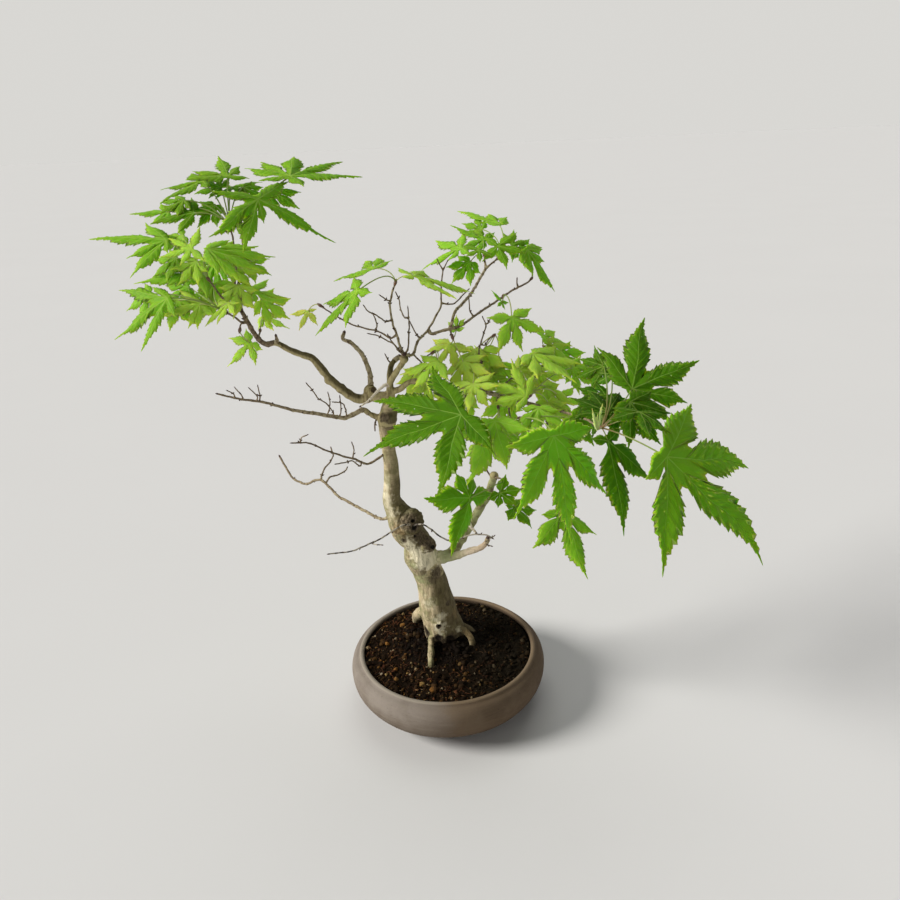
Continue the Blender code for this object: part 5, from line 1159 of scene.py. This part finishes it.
def addLeaf(batch, root, way, row, red, draw):
    place, lean, turn, youth, tips, *shape = row
    broad = shape[0] if shape else 1.0 if isinstance(tips[0], tuple) else leaf["fillBroad"]
    fold = shape[1] if len(shape) > 1 else leaf["fold"]
    knuckle = spot(*place)
    points, faces, carried = weld(*bladeSheet(knuckle, lean, turn, tips, broad, fold, draw))
    points, faces, inner = shell(points, faces, leaf["thickness"])
    phase, ribGap, along, pitch = np.vstack([carried, carried[inner]]).T
    half, tone = len(faces) // 2, draw.uniform(-1, 1)
    batch.add(points, faces, [0] * half + [1] * half, phase=phase, ribGap=ribGap, along=along, pitch=pitch,
              youth=youth, tone=tone)
    line = stalkLine(root, way, knuckle - bladeNormal(lean, turn) * 0.25)
    size = leaf["stalk"] * min(1.0, 0.72 + (line[-1] - line[0]).length / 160.0)
    last, sides = leaf["stalkSteps"], leaf["stalkSides"]
    radii = [size * (1.0 + 0.45 * math.exp(-part / 0.9) + 0.25 * math.exp((part - last) / 0.8))
             for part in range(last + 1)]
    along = np.repeat(np.linspace(0, 1, last + 1), sides)
    batch.add(*sweepTube(line, radii, sides), 2, youth=youth, red=red, along=along, tone=tone)


def makeSpray(name, twig, node, slot, red, rows, finishes):
    draw = random.Random(leaf["seed"] + sum(ord(letter) for letter in name))
    points, _ = limbs[twig]
    way = (points[-1] - points[-2]).normalized()
    root = points[-1] + way * (leaf["gap"] + leaf["budRadius"])
    batch = Batch()
    for row in rows:
        addLeaf(batch, root, way, row, red, draw)
    batch.add(*budShape(root - way * 1.6, way, 3.2, 0.95, 9), 2, youth=0.3, red=1.0, along=0.0, tone=0.0)
    piece = batch.piece("spray" + name[0].upper() + name[1:], finishes)
    settle(piece, slot, node)
    return len(piece.data.polygons)


# leaf colour by youth with painted light: the darkest stop, reached by values below zero, is painted shade
youthAndPaintedLightColours = ((0.0, (0.018, 0.052, 0.001)), (0.17, (0.045, 0.120, 0.001)), (0.32, (0.098, 0.200, 0.005)),
                (0.495, (0.190, 0.382, 0.022)), (0.66, (0.345, 0.580, 0.060)), (0.82, (0.590, 0.650, 0.130)),
                (0.97, (0.430, 0.600, 0.220)))


def leafFinish(name, under):
    blade = Finish(name, Subsurface_Weight=0.55, Subsurface_Scale=0.0016, Specular_IOR_Level=0.06,
                   Subsurface_Radius=(0.5, 1.0, 0.12))
    place = blade.place()
    youth, tone, along, ribGap, pitch, phase = blade.layers(
        "youth", "tone", "along", "ribGap", "pitch", "phase")
    green = blade.ramp((youth + tone * 0.035) * 0.65 + 0.17, *youthAndPaintedLightColours)
    patch = blade.patches(place, 0.10, 3.0, 0.35, 0.70, 0.6)
    green = blade.blend(patch * 0.35, green, blade.tint(green, (1.45, 1.30, 0.9)))
    fromVein = (phase.alone("FRACT") - leaf["veinMeets"]).alone("ABSOLUTE") * pitch
    sideVein = (1.0 - blade.step(fromVein, 0.03, 0.24)) * blade.step(phase, 0.3, 0.6)
    sideVein = sideVein * (1.0 - blade.step(ribGap, 2.0, 9.0) * 0.5)
    rib = 1.0 - blade.step(ribGap / (1.15 - along), 0.12, 0.42)
    net = 1.0 - blade.step(blade.cells(place, 0.85, "DISTANCE_TO_EDGE"), 0.0, 0.09)
    paleVein = blade.blend(0.55, green, (0.42, 0.55, 0.13))
    tipGlow = blade.step(along + blade.noise(place, 0.3, 2.0) * 0.3, 0.75, 1.25)
    green = blade.blend(tipGlow * 0.55, green, blade.tint(green, (2.1, 1.35, 0.9)))
    blade.colour = blade.blend(rib * 0.52, green, paleVein)
    blade.coat(sideVein * (0.4 if under else 0.14), paleVein)
    blade.coat(net * (0.2 if under else 0.08), paleVein)
    if under:
        blade.coat(0.42, (0.26, 0.36, 0.13))
    freckle = blade.patches(place, 1.6, 3.0, 0.66, 0.78, 0.65)
    blade.coat(freckle * 0.22, (0.10, 0.10, 0.02))
    dots = (1.0 - blade.step(blade.cells(place, 0.16), 0.045, 0.062)) * (1.0 - blade.step(youth, 0.25, 0.4))
    blade.coat(dots * 0.8, (0.62, 0.66, 0.42))
    blade.show(patch * 0.10 + (0.70 if under else 0.50))
    height = blade.noise(place, 1.3, 4.0, 0.6) * 0.4 - rib * 0.8 - sideVein * 0.7 - net * 0.18
    blade.bump(height * -1.0 if under else height, 0.12, 0.8)
    return blade


def stalkFinish():
    stalk = Finish("leafStalk", Roughness=0.45, Subsurface_Weight=0.2, Subsurface_Scale=0.001)
    place = stalk.place()
    youth, red, along = stalk.layers("youth", "red", "along")
    green = stalk.ramp(youth, (0.0, (0.14, 0.22, 0.03)), (0.5, (0.25, 0.35, 0.06)), (1.0, (0.50, 0.52, 0.18)))
    blush = stalk.step(stalk.noise(place, 0.25, 2.0) * 0.5 + red - along * 0.55, 0.45, 1.1)
    stalk.colour = stalk.blend(blush, green, (0.155, 0.070, 0.022))
    scale = stalk.patches(place, 1.6, 3.0, 0.4, 0.6)
    scales = stalk.blend(scale, (0.10, 0.045, 0.03), (0.20, 0.12, 0.07))
    stalk.coat((1.0 - stalk.step(along, 0.0, 0.03)) * 0.7, scales)
    stalk.show(0.42 + scale * 0.12)
    stalk.bump(stalk.noise(stalk.place((1, 1, 0.3)), 2.5, 3.0), 0.06, 0.6)
    return stalk


pot = {"rimHeight": 35.0, "rimInner": 53.5, "rimOuter": 56.5, "rimRound": 1.2, "rimDrop": 1.9, "belly": 62.0,
       "bellyHeight": 24.0, "foot": 38.0, "footHeight": 3.0, "footEdge": ((0.5, 1.2), (0.9, 0.5), (1.6, 0.0)),
       "wall": 4.5, "floorTop": 8.0, "holeCircle": 21.0, "holeRadius": 6.0, "holes": 2, "holeSides": 48,
       "sides": 176, "wobble": 0.22, "rings": 0.05, "sharp": 50.0}


def arc(start, step, parts):
    angles = [math.radians(start + step * part) for part in parts]
    return [(math.cos(angle), math.sin(angle)) for angle in angles]


def potProfile():
    form = SimpleNamespace(**pot)
    reach, rise = form.belly - form.wall, form.bellyHeight - form.floorTop
    profile = [(radius, form.floorTop) for radius in (0.0, 12.0, 26.0)]
    for cos, sin in arc(0.0, 5.0, range(19)):  # the inside, from the floor to the belly
        profile.append((form.foot + (reach - form.foot) * sin, form.floorTop + rise * (1.0 - cos)))
    for part in range(1, 7):  # back in under the lip
        share = part / 7.0
        height = form.bellyHeight + (form.rimHeight - 2.0 - form.bellyHeight) * share
        profile.append((reach + (form.rimInner - reach) * share ** 1.4, height))
    middle, half = (form.rimInner + form.rimOuter) / 2.0, (form.rimOuter - form.rimInner) / 2.0
    for cos, sin in arc(180.0, -15.0, range(13)):  # the lip is softly rounded
        profile.append((middle + half * cos, form.rimHeight - form.rimRound + form.rimRound * sin))
    rise = form.rimHeight - form.rimDrop - form.bellyHeight
    for cos, sin in arc(90.0, -7.5, range(1, 13)):  # the outside, down to the belly
        profile.append((form.rimOuter + (form.belly - form.rimOuter) * cos, form.bellyHeight + rise * sin))
    drop = form.bellyHeight - form.footHeight
    for cos, sin in arc(0.0, 5.0, range(1, 19)):  # and on to the foot
        profile.append((form.foot + (form.belly - form.foot) * cos, form.bellyHeight - drop * sin))
    profile += [(form.foot - inward, height) for inward, height in form.footEdge]
    return profile + [(30.0, 0.0), (15.0, 0.0), (0.0, 0.0)]


def latheShape(profile, sides, wobble):
    points, rings = [], []
    for radius, height in profile:
        if radius < 1e-6:
            rings.append([len(points)] * sides)
            points.append((0.0, 0.0, height))
            continue
        rings.append(list(range(len(points), len(points) + sides)))
        for cos, sin in ringWays(sides):
            x, y = radius * cos, radius * sin
            push = wobble(x, y, height)
            points.append((x + push * cos, y + push * sin, height))
    return np.array(points), ringFaces(rings, True)


def makeDrill(index):
    bm = bmesh.new()
    angle = math.radians(90.0 + 360.0 * index / pot["holes"])
    middle = Vector((math.cos(angle), math.sin(angle), 0.0)) * pot["holeCircle"]
    middle.z = pot["floorTop"] / 2.0
    radius = pot["holeRadius"] * mm
    bmesh.ops.create_cone(bm, cap_ends=True, segments=pot["holeSides"], radius1=radius, radius2=radius,
                          depth=pot["floorTop"] * 2.0 * mm, matrix=Matrix.Translation(middle * mm))
    mesh = bpy.data.meshes.new("drill")
    bm.to_mesh(mesh)
    bm.free()
    return addObject("drill", mesh)


def makePot(finish):
    def wobble(x, y, z):
        if z < 0.3:
            return 0.0
        turned = pot["rings"] * math.sin(z * 3.1 + 0.6 * math.sin(math.atan2(y, x) * 2.0))
        return turned + pot["wobble"] * noise.noise((x * 0.035, y * 0.035, z * 0.06))

    piece = makePiece("stonewarePot", *latheShape(potProfile(), pot["sides"], wobble), [finish])
    bm = bmesh.new()
    bm.from_mesh(piece.data)
    bmesh.ops.recalc_face_normals(bm, faces=bm.faces)
    bm.to_mesh(piece.data)
    bm.free()
    drills = [makeDrill(index) for index in range(pot["holes"])]
    for drill in drills:
        cut = piece.modifiers.new("Hole", "BOOLEAN")
        cut.operation, cut.solver, cut.object = "DIFFERENCE", "EXACT", drill
    mesh = applied(piece)
    piece.modifiers.clear()
    piece.data = mesh
    for drill in drills:
        bpy.data.objects.remove(drill)
    mesh.shade_smooth()
    mesh.set_sharp_from_angle(angle=math.radians(pot["sharp"]))
    settle(piece, "pot_stoneware", "pot")
    print("bonsai: pot of", len(mesh.polygons), "faces")


def potFinish():
    clay = Finish("stoneware", Specular_IOR_Level=0.14)
    place = clay.place()
    across, height = clay.axis(place, 0), clay.axis(place, 2)
    bands = clay.noise(clay.place((0.12, 0.12, 1.6)), 0.45, 4.0, 0.6)
    cloud = clay.patches(place, 0.045, 4.0, 0.35, 0.68, 0.6)
    # painted shade: the clay darker towards the bottom
    rise = clay.step(height + (cloud - 0.5) * 5.0, 8.0, 31.0)
    lower = clay.blend(cloud, (0.125, 0.092, 0.064), (0.165, 0.126, 0.092))
    upper = clay.blend(cloud, (0.183, 0.152, 0.125), (0.240, 0.206, 0.174))
    clay.colour = clay.blend(rise, lower, upper)
    clay.coat(clay.step(bands, 0.42, 0.68) * 0.35, (0.25, 0.215, 0.168))
    grit = 1.0 - clay.step(clay.cells(place, 0.62), 0.10, 0.24)
    grit = grit * clay.patches(place, 0.35, 2.0, 0.50, 0.60)
    clay.coat(grit * 0.6, (0.085, 0.065, 0.048))
    fine = clay.patches(place, 2.6, 3.0, 0.56, 0.70, 0.7)
    clay.coat(fine * 0.30, (0.42, 0.38, 0.31))
    # painted highlight: the rim's top lighter
    lip = clay.step(height, 33.6, 34.9)
    clay.coat(lip * 0.6, (0.33, 0.29, 0.23))
    # painted shade: darker low on the belly and in a band under the lip
    lowAndUnderLipShade = (1.0 - clay.step(height, 2.0, 16.0)) * 0.45 + clay.step(height, 30.5, 33.0) * 0.12 * (1.0 - lip)
    clay.coat(lowAndUnderLipShade, (0.13, 0.105, 0.08))
    # painted shade: the clay darker and browner towards its right side
    rightSideShade = clay.step(across + (cloud - 0.5) * 12.0, -22.0, 12.0)
    clay.coat(rightSideShade, clay.tint(clay.colour, (0.60, 0.50, 0.385)))
    clay.show(0.80 + fine * 0.12)
    clay.bump(clay.noise(place, 1.9, 5.0, 0.65) + bands * 0.7 - grit * 0.5, 0.22, 0.75)
    return clay


soil = {"top": 32.0, "mound": 5.0, "moundReach": 26.0, "rough": 1.1, "edge": 53.0, "rings": 64,
        "sectors": 190,
        "under": ((53.0, 29.5), (55.5, 26.5), (57.0, 23.0), (55.0, 16.5), (48.0, 11.0), (38.0, 8.4)),
        "bedTone": 0.12, "trunk": (2.5, 13.0), "trunkShade": (-2.0, 7.0, 34.0), "seed": 23,
        "fibres": 400, "fibresOff": 9.0, "fibreSteps": 7, "fibreSides": 5, "flakes": 170, "flakeSides": 7,
        "grainsOff": 11.0}
# Grains: how many, how finely cut, least and greatest radius
grainSizes = ((640, 2, 0.85, 2.1), (2500, 1, 0.35, 1.05))
fullTurn = 6.2832


def soilHeight(x, y):
    away = math.hypot(x, y - wood["depthLow"] * 0.6)
    lumps = noise.noise((x * 0.11, y * 0.11, 3.0)) * soil["rough"]
    lumps += noise.noise((x * 0.27, y * 0.27, 9.0)) * soil["rough"] * 0.6
    rise = soil["mound"] * math.exp(-(away / soil["moundReach"]) ** 2) + lumps
    return soil["top"] + rise * min(1.0, max(0.0, (soil["edge"] - math.hypot(x, y)) / 4.0))


def crumbs(x, y):
    return (0.55 * noise.noise((x * 0.6, y * 0.6, 1.0)) + 0.35 * noise.noise((x * 1.3, y * 1.3, 2.0))
            + 0.22 * noise.noise((x * 2.6, y * 2.6, 4.0)))


def makeSoilBed(finish):
    sectors, last = soil["sectors"], soil["rings"]
    points = [(0.0, 0.0, soilHeight(0.0, 0.0))]
    for ring in range(1, last + 1):
        radius = soil["edge"] * ring / last
        for cos, sin in ringWays(sectors, 0.5 * (ring % 2)):
            x, y = radius * cos, radius * sin
            points.append((x, y, soilHeight(x, y) + (crumbs(x, y) if ring < last else 0.0)))
    for radius, height in soil["under"]:
        points += [(radius * cos, radius * sin, height) for cos, sin in ringWays(sectors)]
    rings = np.arange(1, len(points)).reshape(-1, sectors).tolist()
    faces = [[0, rings[0][part], rings[0][(part + 1) % sectors]] for part in range(sectors)]
    faces += ringFaces(rings, True) + [rings[-1][::-1]]
    piece = makePiece("soilBed", points, faces, [finish], {"tone": [soil["bedTone"]] * len(points)})
    settle(piece, "soil", "soil")
    print("bonsai: soil bed of", len(faces), "faces")


def grainBase(subdivisions):
    bm = bmesh.new()
    bmesh.ops.create_icosphere(bm, subdivisions=subdivisions, radius=1.0)
    points = np.array([tuple(vertex.co) for vertex in bm.verts])
    faces = [[vertex.index for vertex in face.verts] for face in bm.faces]
    bm.free()
    return points, faces


def turnAbout(draw):
    axis = Vector((draw.gauss(0, 1), draw.gauss(0, 1), draw.gauss(0, 1))).normalized()
    return np.array(Matrix.Rotation(draw.uniform(0, 6.283), 3, axis))


def soilPlace(draw, keepOff):
    while True:
        radius, angle = (soil["edge"] - 0.8) * math.sqrt(draw.random()), draw.uniform(0, fullTurn)
        x, y = radius * math.cos(angle), radius * math.sin(angle)
        if math.dist((x, y), soil["trunk"]) > keepOff:
            return x, y


def makeGrains(finish):
    draw, batch = random.Random(soil["seed"]), Batch()
    for count, subdivisions, low, high in grainSizes:
        base, faces = grainBase(subdivisions)
        for _ in range(count):
            x, y = soilPlace(draw, soil["grainsOff"])
            size = low + (high - low) * draw.random() ** 2.2
            seed = draw.uniform(0, 90)
            lumps = np.array([noise.noise((p[0] * 1.3 + seed, p[1] * 1.3, p[2] * 1.3)) for p in base])
            squash = np.array([1.0, draw.uniform(0.65, 1.0), draw.uniform(0.5, 0.9)])
            shape = base * (1.0 + 0.42 * lumps)[:, None] * squash * size
            shape = shape @ turnAbout(draw).T + (x, y, soilHeight(x, y) + size * draw.uniform(-0.25, 0.55))
            batch.add(shape, faces, tone=draw.random())
    piece = batch.piece("soilGrains", [finish])
    settle(piece, "soil")
    print("bonsai: soil grains of", len(piece.data.polygons), "faces")


def addFibre(batch, draw):
    x, y = soilPlace(draw, soil["fibresOff"])
    way, line, steps = draw.uniform(0, fullTurn), [], soil["fibreSteps"]
    length, radius = draw.uniform(3.0, 13.0) * draw.uniform(0.5, 1.0), draw.uniform(0.09, 0.24)
    lift = draw.uniform(0.1, 1.3)
    for part in range(steps + 1):
        if math.hypot(x, y) > soil["edge"] - 0.5:
            break
        raised = lift * math.sin(part / steps * 3.14) * draw.uniform(0.8, 1.1)
        line.append((x, y, soilHeight(x, y) + 0.35 + raised))
        way += draw.uniform(-0.45, 0.45)
        x, y = x + length / steps * math.cos(way), y + length / steps * math.sin(way)
    if len(line) > 3:
        radii = radius * np.sin(np.linspace(0.5, 2.9, len(line)))
        batch.add(*sweepTube(line, radii, soil["fibreSides"]), tone=draw.random())


def addFlake(batch, draw):  # a thin bit of bark or old leaf
    x, y = soilPlace(draw, soil["grainsOff"])
    size, sides = draw.uniform(0.8, 2.1), soil["flakeSides"]
    outline = [(size * draw.uniform(0.7, 1.1) * math.cos(angle),
                size * 0.55 * draw.uniform(0.6, 1.1) * math.sin(angle))
               for angle in np.arange(sides) * fullTurn / sides]
    shape = np.array([(a, b, 0.12 * side + 0.1 * a * a) for side in (0, 1) for a, b in outline])
    tilt = Matrix.Rotation(draw.uniform(-0.7, 0.7), 3, "X") @ Matrix.Rotation(draw.uniform(0, 6.28), 3, "Z")
    faces = [list(range(sides))[::-1], list(range(sides, 2 * sides))]
    faces += [[a, (a + 1) % sides, sides + (a + 1) % sides, sides + a] for a in range(sides)]
    shape = shape @ np.array(tilt).T + (x, y, soilHeight(x, y) + draw.uniform(0.3, 0.9))
    batch.add(shape, faces, tone=draw.random())


def makeFibres(finish):
    draw, batch = random.Random(soil["seed"] + 1), Batch()
    for _ in range(soil["fibres"]):
        addFibre(batch, draw)
    for _ in range(soil["flakes"]):
        addFlake(batch, draw)
    piece = batch.piece("soilFibres", [finish])
    settle(piece, "soil")
    print("bonsai: fibres and flakes of", len(piece.data.polygons), "faces")


def soilFinish(name, stops):
    earth = Finish(name, Specular_IOR_Level=0.05)
    place = earth.place()
    tone, = earth.layers("tone")
    crumb = earth.ramp(tone + (earth.noise(place, 0.5, 4.0) - 0.5) * 0.05, *stops)
    dark = earth.tint(crumb, (0.42, 0.38, 0.35))
    earth.colour = earth.blend(earth.patches(place, 1.4, 4.0, 0.35, 0.70, 0.65), dark, crumb)
    fromTrunk = earth.node("VectorMath", {"operation": "DISTANCE"}, {0: place, 1: soil["trunkShade"]}, 1)
    near = 1.0 - earth.step(fromTrunk, 18.0, 38.0)
    # damp patches, with painted shade added near the trunk
    dampAndShade = earth.step(earth.noise(place, 0.09, 2.0) + near * 0.3, 0.42, 0.62)
    earth.coat(dampAndShade * 0.45, dark)
    # painted shadow of the trunk on the soil round its foot
    earth.coat(near * 0.86, (0.006, 0.004, 0.003))
    # painted shade on the soil's right side
    right = earth.step(earth.axis(place, 0), -8.0, 34.0)
    earth.coat(right * 0.86, (0.008, 0.006, 0.003))
    earth.show(0.92 - dampAndShade * 0.22)
    earth.bump(earth.noise(place, 2.2, 6.0, 0.7), 0.45, 0.9)
    return earth


def netFinish():
    plastic = Finish("netPlastic", Roughness=0.5)
    scuff = plastic.noise(plastic.place(), 0.8, 4.0)
    plastic.colour = plastic.blend(scuff, (0.012, 0.012, 0.012), (0.035, 0.034, 0.032))
    plastic.show(0.4 + scuff * 0.25)
    plastic.bump(scuff, 0.05, 0.4)
    return plastic


light = {"floor": (0.66, 0.655, 0.645), "floorDim": 0.97, "horizon": (0.692, 0.682, 0.655),
         "zenith": (0.10, 0.104, 0.11), "skyLow": 0.16, "skyTop": 0.36, "floorReach": 60000.0}
# Sun lights, so the pale floor is lit alike out to the horizon: name, where from, strength, softness, tint
sunTable = (
    ("windowLeft", (-0.88, -0.12, 0.54), 3.9, 22.0, (1.0, 0.98, 0.945)),
    ("skyAbove", (0.05, 0.45, 1.0), 0.85, 50.0, (1.0, 1.0, 0.985)),
    ("softFront", (-0.30, -1.0, 0.45), 0.30, 60.0, (1.0, 0.97, 0.93)),
)


def makeStage():
    floor = Finish("paleFloor", Roughness=0.9, Specular_IOR_Level=0.0)
    reach, pale = light["floorReach"], light["floor"]
    dim = tuple(light["floorDim"] * part for part in pale)
    floor.colour = floor.blend(floor.noise(floor.place(), 0.004, 3.0), pale, dim)
    floor.show()
    corners = [(-reach, -reach, 0), (reach, -reach, 0), (reach, reach, 0), (-reach, reach, 0)]
    makePiece("floor", corners, [[0, 1, 2, 3]], [floor])
    world = bpy.data.worlds.new("studio")
    world.use_nodes = True
    tree, made = world.node_tree, {}
    for kind in ("TexCoord", "SeparateXYZ", "MapRange", "Mix"):
        made[kind] = tree.nodes.new("ShaderNode" + kind)
    made["MapRange"].interpolation_type, made["Mix"].data_type = "SMOOTHSTEP", "RGBA"
    made["MapRange"].inputs[1].default_value = light["skyLow"]
    made["MapRange"].inputs[2].default_value = light["skyTop"]
    made["Mix"].inputs[6].default_value = (*light["horizon"], 1.0)
    made["Mix"].inputs[7].default_value = (*light["zenith"], 1.0)
    tree.links.new(made["TexCoord"].outputs["Generated"], made["SeparateXYZ"].inputs[0])
    tree.links.new(made["SeparateXYZ"].outputs[2], made["MapRange"].inputs[0])
    tree.links.new(made["MapRange"].outputs[0], made["Mix"].inputs[0])
    tree.links.new(made["Mix"].outputs[2], tree.nodes["Background"].inputs[0])
    bpy.context.scene.world = world
    bpy.context.scene.view_settings.view_transform = "Standard"
    for name, way, power, softness, tint in sunTable:
        sun = addObject(name, bpy.data.lights.new(name, "SUN"))
        sun.data.energy, sun.data.angle, sun.data.color = power, math.radians(softness), tint
        sun.rotation_euler = Vector(way).to_track_quat("Z", "Y").to_euler()


makeTrunk(barkFinish())
makeTwigs(twigFinish())
leafFinishes = [leafFinish("mapleLeaf", False), leafFinish("mapleLeafUnder", True), stalkFinish()]
leafFaces = sum(makeSpray(*row, leafFinishes) for row in sprayTable)
print("bonsai: leaves of", leafFaces, "faces")
makePot(potFinish())
grainColours = ((0.0, (0.013, 0.008, 0.004)), (0.44, (0.030, 0.017, 0.008)), (0.70, (0.066, 0.036, 0.015)),
                (0.82, (0.15, 0.080, 0.026)), (0.88, (0.33, 0.15, 0.035)), (0.94, (0.38, 0.26, 0.10)),
                (1.0, (0.48, 0.40, 0.28)))
fibreColours = ((0.0, (0.030, 0.015, 0.009)), (0.5, (0.105, 0.040, 0.020)), (0.85, (0.22, 0.09, 0.040)),
                (1.0, (0.36, 0.21, 0.10)))
makeSoilBed(soilFinish("soilEarth", grainColours))
makeGrains(soilFinish("soilGrain", grainColours))
makeFibres(soilFinish("soilFibre", fibreColours))
net = netFinish()
for node in ("drain_net_1", "drain_net_2"):
    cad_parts[node].data.materials.clear()
    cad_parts[node].data.materials.append(net.material)
makeStage()

print("bonsai: finished")
